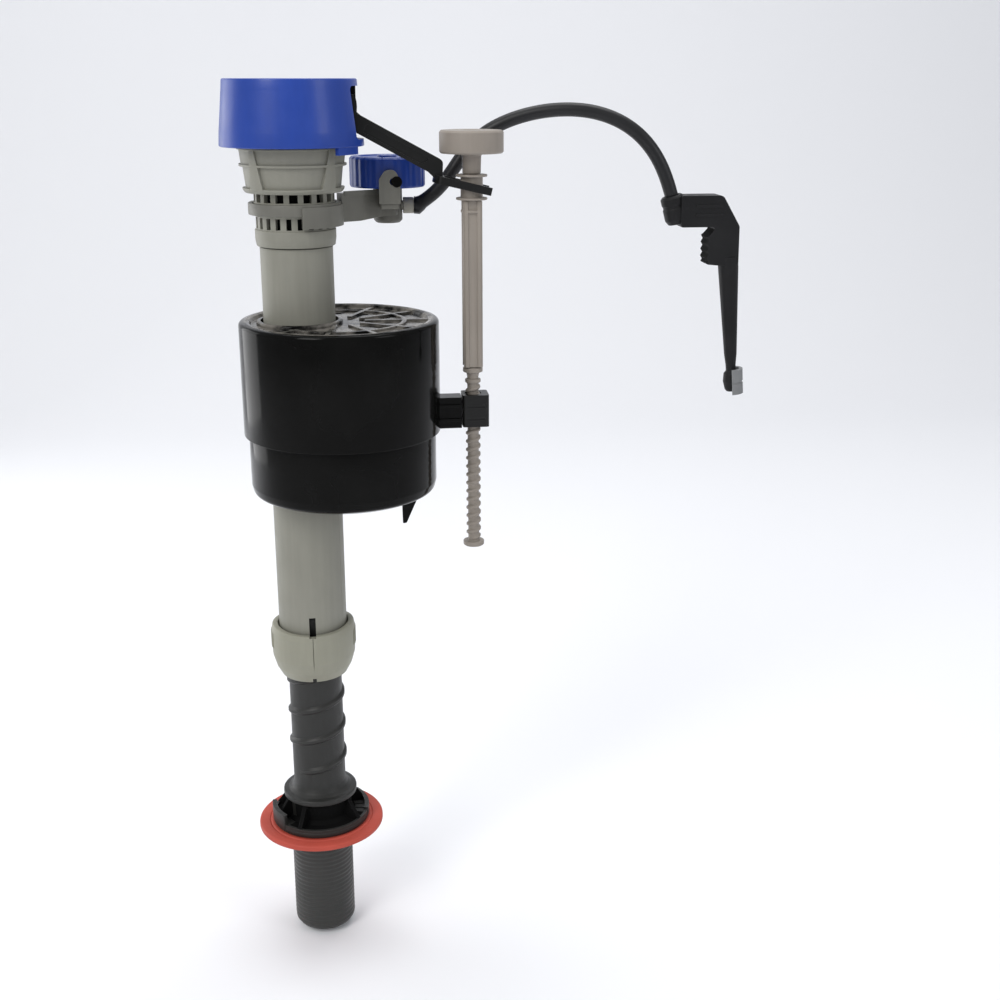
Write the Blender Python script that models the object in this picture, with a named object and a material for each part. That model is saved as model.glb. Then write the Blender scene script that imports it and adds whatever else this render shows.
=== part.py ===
"""Toilet fill valve with a float cup, an adjusting rod and a refill valve with its tube.

Metres, +Z up. Origin: shank axis at the plane where the shank washer seats on
the tank floor. +X points from the riser to the adjusting rod, +Y to the back.
All lengths below are in millimetres and are scaled by MM when a mesh is made.
"""

import math

import bmesh
import bpy
from mathutils import Matrix, Vector

MM = 0.001
GAP = 0.3                      # clearance between pieces that meet

# ---- driving dimensions (mm) -------------------------------------------------
SHANK_R = 11.9                 # 15/16 inch threaded shank
SHANK_BOTTOM = -44.0
FLANGE_R, FLANGE_Z0, FLANGE_Z1 = 19.1, 2.5, 4.8
FIN_R, FIN_Z1 = 20.5, 14.4
DISC_R, DISC_Z0, DISC_Z1 = 15.4, 15.0, 18.0
CORE_R, CORE_TOP = 10.0, 150.0
RIB_R, RIB_PITCH, RIB_HEIGHT = 10.9, 12.8, 3.2
RIB_Z0, RIB_TURNS = 24.0, 9
SHANK_BORE = 7.7

WASHER_R, WASHER_T = 24.2, 2.2
WASHER_HUB_R, WASHER_HUB_Z = 15.5, -3.0

COLLAR_Z0, COLLAR_Z1 = 65.2, 85.7
COLLAR_R_TOP, COLLAR_R_MAX, COLLAR_R_LOW = 14.9, 15.7, 12.1
COLLAR_BORE = 11.3

RISER_R, RISER_BORE = 12.65, 11.35
RISER_Z0, RISER_Z1 = 76.3, 226.0

LIP_R, LIP_Z1 = 14.0, 232.0
ROW2_R, ROW2_Z1 = 13.5, 236.5
BAND_R, BAND_Z1 = 14.0, 241.3
ROW1_R, ROW1_Z1 = 13.8, 244.5
BASKET_R0, BASKET_R1, BASKET_Z1 = 17.2, 19.0, 259.3
HEAD_DECK_R, HEAD_TOP = 17.8, 262.4
HEAD_BORE = 12.0
WINDOWS_1, WINDOWS_2 = 18, 22

CAP_R_TOP, CAP_R_LOW = 22.6, 25.2
CAP_Z0, CAP_Z1, CAP_WALL = 259.6, 281.6, 2.0
CAP_SHOULDER_R, CAP_SHOULDER_Z = 17.9, 270.3
CAP_SLOT_HALF = 11.0

INLET_R, INLET_BORE = 7.0, 5.6
INLET_Z0, INLET_Z1 = 78.0, 262.2

PIVOT = (12.0, 0.0, 272.5)     # lever pin
PILOT_X = 5.0

ROD_X = 61.5                   # adjusting rod axis
KNOB_R, KNOB_Z0, KNOB_Z1 = 11.2, 256.8, 264.6
NECK_R, SPOOL_NECK_R = 3.2, 2.6
SPOOL_Z0, SPOOL_Z1, SPOOL_DISC_T = 241.0, 249.7, 0.8
SPOOL_DISC_R, SPOOL_R = 5.5, 3.9
SHAFT_W, SHAFT_Z0, SHAFT_Z1 = 6.8, 180.0, 240.7
THREAD_R, THREAD_Z0 = 2.6, 115.9
END_R, END_Z0 = 3.9, 112.6

FLOAT_X, FLOAT_Y = 13.9, -1.5  # cup centre: the riser passes left of it
FLOAT_R, FLOAT_TOP, FLOAT_SEAM = 35.3, 200.5, 159.8
FLOAT_R_LOW, FLOAT_BOTTOM = 33.6, 138.2
FLOAT_WALL = 1.8
FLOAT_PASSAGE, FLOAT_SLEEVE = 13.7, 15.2
CLIP_X0, CLIP_X1, CLIP_Z0, CLIP_Z1 = 57.4, 67.0, 158.8, 171.8

DIAL_X, DIAL_Y = 33.0, 20.0
DIAL_R, DIAL_Z0, DIAL_Z1 = 13.6, 244.4, 255.4
BOSS_R, BOSS_Z0 = 5.2, 231.6
ARM_Z0, ARM_Z1 = 233.1, 240.1
NIPPLE_Z, NIPPLE_R, NIPPLE_BORE = 237.6, 1.75, 1.0

HOSE_R = 2.6
# Route of the refill tube, from the nipple to the overflow adapter (x, y, z).
HOSE_ROUTE = [
    (45.6, 20.0, 237.7), (50.4, 20.3, 240.4), (54.8, 20.5, 246.0),
    (58.6, 20.2, 253.4), (63.8, 19.6, 260.0), (70.4, 18.6, 264.8),
    (82.4, 16.5, 269.4), (96.5, 13.6, 271.4), (110.5, 10.6, 269.8),
    (122.9, 8.0, 263.1), (130.5, 6.7, 253.2), (133.2, 6.2, 246.6),
    (134.9, 6.0, 240.3),
]

ADAPTER_Y = 6.0
SPOUT_TOP, SPOUT_LEAN = (156.1, 4.6, 218.0), 4.4
BAR_X0, BAR_X1, BAR_Z0, BAR_Z1 = 138.4, 159.6, 230.2, 241.4
NECK_X0, BLOCK_X0, BLOCK_Z0, BLOCK_Z1 = 151.2, 147.4, 216.6, 226.8
SPOUT_Z0, TIP_Z0 = 177.9, 167.9
COLLAR_LEAN = 15.0             # degrees, the adapter's inlet leans to the valve

SEG_BIG, SEG_MID, SEG_SMALL = 36, 24, 16


# ---- helpers -----------------------------------------------------------------
def srgb(r, g, b):
    """Linear colour from 0-255 display values."""
    def lin(c):
        c /= 255.0
        return c / 12.92 if c <= 0.04045 else ((c + 0.055) / 1.055) ** 2.4
    return (lin(r), lin(g), lin(b), 1.0)


def material(name, colour, roughness, metallic=0.0):
    mat = bpy.data.materials.new(name)
    mat.use_nodes = True
    shader = mat.node_tree.nodes["Principled BSDF"]
    shader.inputs["Base Color"].default_value = colour
    shader.inputs["Roughness"].default_value = roughness
    shader.inputs["Metallic"].default_value = metallic
    mat.diffuse_color = colour
    return mat


def finish(name, bm, mat=None, parent=None, smooth=True, angle=35.0):
    """Object of a bmesh that is in world millimetres, set on its parent's origin."""
    bmesh.ops.recalc_face_normals(bm, faces=bm.faces[:])
    origin = Vector(parent.location) if parent else Vector((0.0, 0.0, 0.0))
    bmesh.ops.scale(bm, vec=(MM, MM, MM), verts=bm.verts[:])
    bmesh.ops.translate(bm, vec=-origin, verts=bm.verts[:])
    mesh = bpy.data.meshes.new(name)
    bm.to_mesh(mesh)
    bm.free()
    if smooth:
        mesh.shade_smooth()
        mesh.set_sharp_from_angle(angle=math.radians(angle))
    obj = bpy.data.objects.new(name, mesh)
    bpy.context.scene.collection.objects.link(obj)
    if mat:
        mesh.materials.append(mat)
    if parent:
        obj.parent = parent
    return obj


def turned(bm, profile, segments, centre=(0.0, 0.0), closed=True, tilt=None):
    """Spins a profile of (radius, z) about the vertical axis through centre."""
    verts = [bm.verts.new((r, 0.0, z)) for r, z in profile]
    edges = [bm.edges.new((a, b)) for a, b in zip(verts, verts[1:])]
    if closed:
        edges.append(bm.edges.new((verts[-1], verts[0])))
    before = set(bm.verts) - set(verts)
    bmesh.ops.spin(bm, geom=verts + edges, cent=(0, 0, 0), axis=(0, 0, 1),
                   dvec=(0, 0, 0), angle=2 * math.pi, steps=segments,
                   use_duplicate=False)
    made = [v for v in bm.verts if v not in before]
    bmesh.ops.remove_doubles(bm, verts=made, dist=1e-4)
    made = [v for v in bm.verts if v not in before]
    shift = Matrix.Translation((centre[0], centre[1], 0.0))
    bmesh.ops.transform(bm, matrix=(tilt if tilt else shift), verts=made)
    return made


def lathe(name, profile, segments, mat=None, parent=None, centre=(0.0, 0.0),
          closed=True, tilt=None):
    bm = bmesh.new()
    turned(bm, profile, segments, centre, closed, tilt)
    return finish(name, bm, mat, parent)


def add_box(bm, lo, hi, turn=0.0):
    """Box from lo to hi, turned about the vertical axis through the origin."""
    size = [b - a for a, b in zip(lo, hi)]
    mid = [(a + b) / 2 for a, b in zip(lo, hi)]
    place = (Matrix.Rotation(turn, 4, "Z") @ Matrix.Translation(mid)
             @ Matrix.Diagonal((*size, 1.0)))
    bmesh.ops.create_cube(bm, size=1.0, matrix=place)


def boxes(name, items, mat=None, parent=None):
    bm = bmesh.new()
    for item in items:
        add_box(bm, *item)
    return finish(name, bm, mat, parent, smooth=False)


def add_prism(bm, outline, lo, hi, across="Y"):
    """Outline of (x, z) points extruded along Y, or of (x, y) points along Z."""
    def at(p, h):
        return (p[0], h, p[1]) if across == "Y" else (p[0], p[1], h)
    face = bm.faces.new([bm.verts.new(at(p, lo)) for p in outline])
    out = bmesh.ops.extrude_face_region(bm, geom=[face])
    moved = [v for v in out["geom"] if isinstance(v, bmesh.types.BMVert)]
    vec = (0, hi - lo, 0) if across == "Y" else (0, 0, hi - lo)
    bmesh.ops.translate(bm, vec=vec, verts=moved)


def prism(name, outline, lo, hi, across="Y", mat=None, parent=None):
    bm = bmesh.new()
    add_prism(bm, outline, lo, hi, across)
    return finish(name, bm, mat, parent, smooth=False)


def boolean(obj, other, operation):
    """Adds a Boolean by a helper object, which stays as a hidden guide."""
    mod = obj.modifiers.new(other.name, "BOOLEAN")
    mod.operation = operation
    mod.solver = "EXACT"
    mod.object = other
    other.hide_render = True
    other.display_type = "WIRE"
    return obj


def cut(obj, other):
    return boolean(obj, other, "DIFFERENCE")


def fuse(obj, other):
    return boolean(obj, other, "UNION")


def body_empty(name, at):
    empty = bpy.data.objects.new(name, None)
    empty.location = [c * MM for c in at]
    empty.empty_display_size = 0.01
    bpy.context.scene.collection.objects.link(empty)
    return empty


def ring_profile(r_in, r_out, z0, z1):
    return [(r_out, z1), (r_out, z0), (r_in, z0), (r_in, z1)]


def rod_profile(points):
    """Open profile from axis to axis: (radius, z) from top to bottom."""
    return [(0.0, points[0][1])] + points + [(0.0, points[-1][1])]


def smooth_route(points, step):
    """Catmull-Rom curve through the points, read at even steps of its length."""
    pts = [Vector(p) for p in points]
    pts = [pts[0] * 2 - pts[1]] + pts + [pts[-1] * 2 - pts[-2]]
    fine = []
    for a, b, c, d in zip(pts, pts[1:], pts[2:], pts[3:]):
        for i in range(24):
            t = i / 24.0
            fine.append(0.5 * (2 * b + (c - a) * t + (2 * a - 5 * b + 4 * c - d) * t * t
                               + (3 * b - a - 3 * c + d) * t ** 3))
    fine.append(pts[-2])
    run = [0.0]
    for p, q in zip(fine, fine[1:]):
        run.append(run[-1] + (q - p).length)
    count = max(2, round(run[-1] / step))
    out, k = [], 0
    for i in range(count + 1):
        want = run[-1] * i / count
        while k < len(run) - 2 and run[k + 1] < want:
            k += 1
        part = (want - run[k]) / (run[k + 1] - run[k])
        out.append(fine[k].lerp(fine[k + 1], part))
    return out


# ---- scene -------------------------------------------------------------------
for old in list(bpy.data.objects):
    bpy.data.objects.remove(old, do_unlink=True)

BLUE = material("cap_blue_plastic", srgb(52, 80, 168), 0.38)
GREY = material("grey_plastic", srgb(128, 127, 119), 0.5)
PALE = material("pale_plastic", srgb(176, 175, 168), 0.45)
DARK = material("dark_grey_plastic", srgb(62, 62, 60), 0.5)
BLACK = material("black_plastic", srgb(18, 18, 17), 0.3)
GLOSS = material("float_black_plastic", srgb(16, 16, 15), 0.16)
BEIGE = material("beige_plastic", srgb(150, 142, 132), 0.5)
RED = material("red_rubber", srgb(205, 76, 66), 0.6)
RUBBER = material("black_rubber", srgb(30, 30, 31), 0.55)
STEEL = material("steel_pin", srgb(170, 170, 172), 0.3, 1.0)

RISER = body_empty("axis_height_adjust", (0, 0, 0))
LEVER = body_empty("axis_arm_pivot", PIVOT)
PILOT = body_empty("axis_pilot_stroke", (PILOT_X, 0, 270))
DIAL = body_empty("axis_refill_dial", (DIAL_X, DIAL_Y, DIAL_Z0))
SPOOL = body_empty("axis_float_travel", (ROD_X, 0, SPOOL_Z0))
ROD = body_empty("axis_rod_turn", (ROD_X, 0, 250))
FLOAT = body_empty("axis_level_adjust", (ROD_X, 0, CLIP_Z0))


# ---- shank, fixed in the tank ------------------------------------------------
def make_shank():
    shank = lathe("threaded_shank", [
        (CORE_R, CORE_TOP), (CORE_R, DISC_Z1 + 1.2), (CORE_R + 1.0, DISC_Z1),
        (DISC_R, DISC_Z1), (DISC_R, DISC_Z0), (13.0, DISC_Z0),
        (13.0, FLANGE_Z1), (FLANGE_R, FLANGE_Z1), (FLANGE_R, FLANGE_Z0),
        (SHANK_R, FLANGE_Z0), (SHANK_R, SHANK_BOTTOM + 1.2),
        (SHANK_R - 1.2, SHANK_BOTTOM), (6.4, SHANK_BOTTOM), (6.4, 20.0),
        (SHANK_BORE, 24.0), (SHANK_BORE, CORE_TOP)], SEG_MID, DARK)
    fins = boxes("guide_shank_fins", [
        ((12.0, -1.0, FLANGE_Z1 - 0.6), (FIN_R, 1.0, FIN_Z1), math.radians(22.5 + 45 * i))
        for i in range(8)])
    fuse(shank, fins)
    # The spiral rib that the riser's collar rides on.
    bm = bmesh.new()
    rows = []
    per_turn = 16
    steps = RIB_TURNS * per_turn
    for i in range(steps + 1):
        turn = 2 * math.pi * i / per_turn + 3.25
        fade = min(1.0, i / 5.0, (steps - i) / 5.0)
        outer = CORE_R - 0.35 + (RIB_R - CORE_R + 0.35) * fade
        mid = RIB_Z0 + RIB_PITCH * i / per_turn
        half = RIB_HEIGHT / 2
        rows.append([bm.verts.new((r * math.cos(turn), r * math.sin(turn), mid + dz))
                     for r, dz in ((CORE_R - 0.8, -half), (outer, -half + 0.7),
                                   (outer, half - 0.7), (CORE_R - 0.8, half))])
    for a, b in zip(rows, rows[1:]):
        for j in range(4):
            bm.faces.new((a[j], a[(j + 1) % 4], b[(j + 1) % 4], b[j]))
    bm.faces.new(rows[0])
    bm.faces.new(rows[-1])
    rib = finish("guide_spiral_rib", bm)
    fuse(shank, rib)


make_shank()
lathe("shank_washer", [
    (WASHER_R, WASHER_T), (WASHER_R, 0.0), (WASHER_HUB_R, 0.0),
    (13.4, WASHER_HUB_Z), (SHANK_R + GAP, WASHER_HUB_Z), (SHANK_R + GAP, WASHER_T)],
    SEG_MID, RED)

# ---- riser -------------------------------------------------------------------
collar = lathe("lock_collar", [
    (COLLAR_R_TOP, COLLAR_Z1), (COLLAR_R_MAX, COLLAR_Z1 - 4.5),
    (COLLAR_R_MAX, COLLAR_Z1 - 8.0), (COLLAR_R_LOW, COLLAR_Z0),
    (COLLAR_BORE, COLLAR_Z0), (COLLAR_BORE, RISER_Z0 - GAP),
    (RISER_R + GAP, RISER_Z0 - GAP), (RISER_R + GAP, COLLAR_Z1)], SEG_MID, PALE, RISER)
cut(collar, boxes("cut_collar_slots", [
    ((11.9 if i % 2 else 12.5, -1.1, COLLAR_Z1 - 6.5), (17.5, 1.1, COLLAR_Z1 + 1.0),
     math.radians(-90 + 90 * i)) for i in range(4)], parent=RISER))
lathe("riser_tube", ring_profile(RISER_BORE, RISER_R, RISER_Z0, RISER_Z1),
      SEG_MID, GREY, RISER)
lathe("inlet_tube", [
    (INLET_R, INLET_Z1), (INLET_R, 92.0), (6.3, 92.0), (6.3, 89.6), (INLET_R, 89.6),
    (INLET_R, 84.0), (6.3, 84.0), (6.3, 81.6), (INLET_R, 81.6), (INLET_R, INLET_Z0),
    (INLET_BORE, INLET_Z0), (INLET_BORE, INLET_Z1)], 20, PALE, RISER)
for name, low in (("inlet_seal_lower", 81.9), ("inlet_seal_upper", 89.9)):
    lathe(name, ring_profile(6.6, 7.35, low, low + 1.8), 20, RUBBER, RISER)

head = lathe("valve_head", [
    (HEAD_DECK_R, HEAD_TOP), (HEAD_DECK_R, BASKET_Z1), (BASKET_R1, BASKET_Z1),
    (BASKET_R0, ROW1_Z1), (ROW1_R, ROW1_Z1), (ROW1_R, BAND_Z1), (BAND_R, BAND_Z1),
    (BAND_R, ROW2_Z1), (ROW2_R, ROW2_Z1), (ROW2_R, LIP_Z1), (LIP_R, LIP_Z1),
    (LIP_R, RISER_Z1 + GAP), (RISER_BORE - GAP, RISER_Z1 + GAP),
    (RISER_BORE - GAP, 214.0), (9.6, 214.0), (9.6, 226.5), (HEAD_BORE, 229.0),
    (HEAD_BORE, 245.0), (14.8, 248.0), (15.6, 256.5), (INLET_R + GAP, 258.5),
    (INLET_R + GAP, HEAD_TOP)], 36, GREY, RISER)
cut(head, boxes("cut_head_windows", [
    ((HEAD_BORE - 0.7, -1.25, BAND_Z1 + 0.3), (15.2, 1.25, ROW1_Z1 - 0.3),
     math.radians(360.0 / WINDOWS_1 * i + 10)) for i in range(WINDOWS_1)] + [
    ((HEAD_BORE - 0.7, -0.9, LIP_Z1 + 0.3), (15.2, 0.9, ROW2_Z1 - 0.3),
     math.radians(360.0 / WINDOWS_2 * i)) for i in range(WINDOWS_2)], parent=RISER))

lathe("valve_seat", [
    (6.7, 263.9), (6.7, INLET_Z1 + GAP), (INLET_BORE - GAP, INLET_Z1 + GAP),
    (INLET_BORE - GAP, 258.0), (3.2, 258.0), (3.2, 263.9)], 20, PALE, RISER)
lathe("diaphragm", [
    (15.6, 266.2), (16.4, 265.6), (16.4, 264.3), (15.4, 263.6), (14.2, 263.6),
    (13.4, 264.3), (9.0, 264.3), (1.0, 264.3), (1.0, 266.2)], 28, RUBBER, RISER)
plate = lathe("pivot_plate", [
    (17.5, 270.0), (17.5, 266.5), (2.2, 266.5), (2.2, 270.0)], 28, GREY, RISER,
    centre=(0.0, 0.0))
ears = bmesh.new()
for side in (-1, 1):
    y0, y1 = sorted((side * 3.5, side * 5.9))
    add_prism(ears, [(8.6, 269.2), (15.4, 269.2), (14.6, 274.2), (13.0, 275.6),
                     (11.0, 275.6), (9.4, 274.2)], y0, y1)
fuse(plate, finish("guide_plate_ears", ears, parent=RISER, smooth=False))
notch = boxes("cut_plate_notch", [((8.4, -3.3, 260.0), (24.0, 3.3, 280.0))], parent=RISER)
cut(plate, notch)
pilot_hole = lathe("cut_pilot_hole", rod_profile([(2.15, 275.0), (2.15, 260.0)]), 16,
                   parent=RISER, centre=(PILOT_X, 0.0), closed=False)
cut(plate, pilot_hole)


def sideways(x, z, y_mid=0.0):
    """Turns the Z axis onto Y and moves it to (x, y_mid, z)."""
    return Matrix.Translation((x, y_mid, z)) @ Matrix.Rotation(math.pi / 2, 4, "X")


cut(plate, lathe("cut_pin_hole", rod_profile([(1.5, 9.0), (1.5, -9.0)]), 16,
                 parent=RISER, closed=False, tilt=sideways(PIVOT[0], PIVOT[2])))
lathe("lever_pin", rod_profile([(0.9, 6.4), (1.2, 6.1), (1.2, -6.1), (0.9, -6.4)]), 16, STEEL,
      RISER, closed=False, tilt=sideways(PIVOT[0], PIVOT[2]))

cap = lathe("valve_cap", [
    (0.0, CAP_Z1), (CAP_R_TOP - 0.9, CAP_Z1), (CAP_R_TOP, CAP_Z1 - 0.9),
    (CAP_R_TOP + 0.3, CAP_Z1 - 7.0), (CAP_R_LOW, CAP_Z0 + 1.5), (CAP_R_LOW, CAP_Z0),
    (CAP_R_LOW - CAP_WALL, CAP_Z0), (21.6, CAP_SHOULDER_Z), (CAP_SHOULDER_R, CAP_SHOULDER_Z),
    (CAP_SHOULDER_R, CAP_Z1 - 2.2), (0.0, CAP_Z1 - 2.2)], SEG_BIG, BLUE, RISER, closed=False)
cut(cap, boxes("cut_cap_slot", [((12.6, -CAP_SLOT_HALF, 261.8), (30.0, CAP_SLOT_HALF, 279.2))],
               parent=RISER))

# ---- float lever and pilot ---------------------------------------------------
SLOPE = math.radians(28.4)


def on_beam(s, h):
    """Point s along the lever's beam from the pin and h above its centre line."""
    return (PIVOT[0] + s * math.cos(SLOPE) + h * math.sin(SLOPE),
            PIVOT[2] - s * math.sin(SLOPE) + h * math.cos(SLOPE))


beam = prism("float_lever", [
    (2.6, 273.4), (8.0, 273.4), (8.6, 271.8), (9.6, 270.2), (11.2, 269.5), on_beam(3.0, -2.9),
    on_beam(40.6, -2.9), (49.6, 247.6), (50.4, 246.6), (51.2, 246.3), (51.2, 251.0),
    on_beam(43.2, 2.9), on_beam(11.6, 2.9)] + [
    (PIVOT[0] + r * math.cos(math.radians(a)), PIVOT[2] + r * math.sin(math.radians(a)))
    for a, r in ((-10, 10.4), (6, 10.4), (22, 10.4), (34, 7.4), (56, 6.2), (80, 5.2))] + [
    (2.6, 276.4)], -2.9, 2.9, mat=BLACK, parent=LEVER)
fork = bmesh.new()
add_prism(fork, [(49.4, -6.1), (68.2, -6.1), (68.2, -4.3), (52.2, -4.3), (51.2, -3.4),
                 (51.2, 3.4), (52.2, 4.3), (68.2, 4.3), (68.2, 6.1), (49.4, 6.1),
                 (47.8, 3.2), (47.8, -3.2)], -1.35, 1.35, across="Z")
tip_turn = Matrix.Translation((ROD_X, 0, 245.45)) @ Matrix.Rotation(math.radians(13.0), 4, "Y") \
    @ Matrix.Translation((-ROD_X, 0, 0))
bmesh.ops.transform(fork, matrix=tip_turn, verts=fork.verts[:])
fuse(beam, finish("guide_fork", fork, parent=LEVER, smooth=False))
cut(beam, lathe("cut_lever_bore", rod_profile([(1.5, 9.0), (1.5, -9.0)]), 16, parent=LEVER,
                closed=False, tilt=sideways(PIVOT[0], PIVOT[2])))
lathe("pilot_plunger", rod_profile([(1.4, 272.6), (1.8, 272.2), (1.8, 268.4)]), 12, PALE,
      PILOT, centre=(PILOT_X, 0.0), closed=False)

# ---- adjusting rod and its spool ---------------------------------------------
lathe("fork_spool", [
    (SPOOL_DISC_R, SPOOL_Z1), (SPOOL_DISC_R, SPOOL_Z1 - SPOOL_DISC_T),
    (SPOOL_R, SPOOL_Z1 - SPOOL_DISC_T), (SPOOL_R, SPOOL_Z0 + SPOOL_DISC_T),
    (SPOOL_DISC_R, SPOOL_Z0 + SPOOL_DISC_T), (SPOOL_DISC_R, SPOOL_Z0),
    (SPOOL_NECK_R + GAP, SPOOL_Z0), (SPOOL_NECK_R + GAP, SPOOL_Z1)], 20, BEIGE, SPOOL,
    centre=(ROD_X, 0.0))
rod = lathe("adjusting_rod", rod_profile([
    (KNOB_R - 0.7, KNOB_Z1), (KNOB_R, KNOB_Z1 - 0.7), (KNOB_R, KNOB_Z0), (NECK_R, KNOB_Z0),
    (NECK_R, SPOOL_Z1 + GAP), (SPOOL_NECK_R, SPOOL_Z1 + GAP), (SPOOL_NECK_R, 238.0),
    (SPOOL_NECK_R, SHAFT_Z0 + 0.4), (3.7, SHAFT_Z0 + 0.4), (3.7, SHAFT_Z0 - 1.4),
    (THREAD_R, SHAFT_Z0 - 1.4), (THREAD_R, THREAD_Z0), (END_R, THREAD_Z0),
    (END_R, END_Z0 + 0.6), (END_R - 0.6, END_Z0)]), 20, BEIGE, ROD, centre=(ROD_X, 0.0),
    closed=False)
half = SHAFT_W / 2
fuse(rod, prism("guide_square_shaft", [
    (ROD_X + sx * a, sy * b) for sx, sy, a, b in (
        (-1, -1, half, half - 0.8), (-1, -1, half - 0.8, half), (1, -1, half - 0.8, half),
        (1, -1, half, half - 0.8), (1, 1, half, half - 0.8), (1, 1, half - 0.8, half),
        (-1, 1, half - 0.8, half), (-1, 1, half, half - 0.8))],
    SHAFT_Z0, SHAFT_Z1, across="Z", parent=ROD))

# ---- float cup ---------------------------------------------------------------
centre = (FLOAT_X, FLOAT_Y)
inner = FLOAT_R - FLOAT_WALL
upper = lathe("float_upper", [
    (0.0, FLOAT_TOP), (FLOAT_R - 3.6, FLOAT_TOP), (FLOAT_R - 1.4, FLOAT_TOP - 0.9),
    (FLOAT_R - 0.3, FLOAT_TOP - 3.2), (FLOAT_R, FLOAT_SEAM), (inner, FLOAT_SEAM),
    (inner - 0.2, FLOAT_TOP - 4.2), (inner - 2.0, FLOAT_TOP - FLOAT_WALL - 0.4),
    (0.0, FLOAT_TOP - FLOAT_WALL - 0.4)], SEG_BIG, GLOSS, FLOAT, centre=centre, closed=False)
fuse(upper, lathe("guide_float_sleeve", rod_profile([
    (FLOAT_SLEEVE, FLOAT_TOP - 1.0), (FLOAT_SLEEVE, FLOAT_BOTTOM + 1.0)]), SEG_MID,
    parent=FLOAT, closed=False))
fuse(upper, boxes("guide_float_bracket", [
    ((47.5, -4.6, CLIP_Z0 + 0.6), (CLIP_X0 - GAP, 4.6, CLIP_Z1 - 0.6))], parent=FLOAT))
cut(upper, lathe("cut_float_passage", rod_profile([
    (FLOAT_PASSAGE, FLOAT_TOP + 5.0), (FLOAT_PASSAGE, FLOAT_BOTTOM - 5.0)]), SEG_MID,
    parent=FLOAT, closed=False))
low_in = FLOAT_R_LOW - FLOAT_WALL
spigot = inner - GAP
lower = lathe("float_lower", [
    (0.0, FLOAT_BOTTOM + FLOAT_WALL), (low_in - 4.4, FLOAT_BOTTOM + FLOAT_WALL),
    (low_in - 1.9, FLOAT_BOTTOM + 3.2), (low_in - 0.9, FLOAT_BOTTOM + 6.6),
    (low_in - 0.9, FLOAT_SEAM + 3.6), (spigot, FLOAT_SEAM + 3.6), (spigot, FLOAT_SEAM - GAP),
    (FLOAT_R_LOW, FLOAT_SEAM - GAP), (FLOAT_R_LOW, FLOAT_BOTTOM + 6.0),
    (FLOAT_R_LOW - 0.6, FLOAT_BOTTOM + 3.0), (FLOAT_R_LOW - 2.2, FLOAT_BOTTOM + 1.0),
    (FLOAT_R_LOW - 5.2, FLOAT_BOTTOM), (0.0, FLOAT_BOTTOM)],
    SEG_BIG, GLOSS, FLOAT, centre=centre, closed=False)
fuse(lower, prism("guide_float_fin", [
    (34.5, FLOAT_BOTTOM + 1.0), (42.4, FLOAT_BOTTOM + 1.6), (40.2, 132.6), (35.9, 123.2),
    (34.9, 124.2)], FLOAT_Y - 1.0, FLOAT_Y + 1.0, parent=FLOAT))
cut(lower, lathe("cut_lower_passage", rod_profile([
    (FLOAT_SLEEVE + GAP, FLOAT_SEAM + 9.0), (FLOAT_SLEEVE + GAP, FLOAT_BOTTOM - 5.0)]),
    SEG_MID, parent=FLOAT, closed=False))
clip = boxes("rod_clip", [((CLIP_X0, -4.7, CLIP_Z0), (CLIP_X1, 4.7, CLIP_Z1))], BLACK, FLOAT)
cut(clip, lathe("cut_clip_bore", rod_profile([(3.1, CLIP_Z1 + 4), (3.1, CLIP_Z0 - 4)]), 20,
                parent=FLOAT, centre=(ROD_X, 0.0), closed=False))
cut(clip, boxes("cut_clip_window", [
    ((ROD_X + 1.2, -2.8, CLIP_Z0 + 3.4), (CLIP_X1 + 2.0, 2.8, CLIP_Z1 - 3.4))], parent=FLOAT))

# ---- refill valve ------------------------------------------------------------
housing = lathe("refill_housing", [
    (BOSS_R, DIAL_Z0 - GAP), (BOSS_R, BOSS_Z0 + 1.0), (BOSS_R - 1.0, BOSS_Z0),
    (2.2, BOSS_Z0), (2.2, DIAL_Z0 - GAP)], 20, GREY, RISER, centre=(DIAL_X, DIAL_Y))


def arc_points(radius, first, last, count):
    return [(radius * math.cos(math.radians(first + (last - first) * i / count)),
             radius * math.sin(math.radians(first + (last - first) * i / count)))
            for i in range(count + 1)]


band = prism("guide_refill_band",
             arc_points(16.6, -82, 80, 16) + arc_points(BAND_R + GAP, 80, -82, 16),
             ARM_Z0, ARM_Z1, across="Z", parent=RISER)
fuse(housing, band)
fuse(housing, lathe("guide_clamp_ring", ring_profile(BAND_R + GAP, 15.9, 237.0, 241.0), SEG_MID,
                    parent=RISER))
fuse(housing, prism("guide_refill_arm", [
    (14.6, 7.6), (16.2, 3.6), (30.5, 12.5), (35.5, 12.5), (35.5, 16.6), (29.6, 19.4)],
    ARM_Z0 + 0.4, 243.2, across="Z", parent=RISER))
fuse(housing, boxes("guide_dial_shelf", [
    ((29.8, 4.8, 238.6), (36.4, 17.0, 242.8))], parent=RISER))
fuse(housing, boxes("guide_dial_post", [
    ((29.4, 4.1, 239.4), (36.8, 6.1, 251.0))], parent=RISER))
cut(housing, lathe("cut_nipple_port", rod_profile([(2.1, 20.0), (2.1, 0.0)]), 12,
                   parent=RISER, closed=False,
                   tilt=Matrix.Translation((DIAL_X + 2.6, DIAL_Y, NIPPLE_Z))
                   @ Matrix.Rotation(math.pi / 2, 4, "Y")))
lathe("refill_nipple", [
    (NIPPLE_R, 5.6), (NIPPLE_R, 2.6), (2.6, 2.6), (2.6, 0.0), (NIPPLE_R, 0.0),
    (NIPPLE_R, -1.6), (NIPPLE_BORE, -1.6), (NIPPLE_BORE, 5.6)], 16, PALE, RISER,
    tilt=Matrix.Translation((DIAL_X + BOSS_R + GAP, DIAL_Y, NIPPLE_Z))
    @ Matrix.Rotation(math.pi / 2, 4, "Y"))
dial = bmesh.new()
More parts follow.
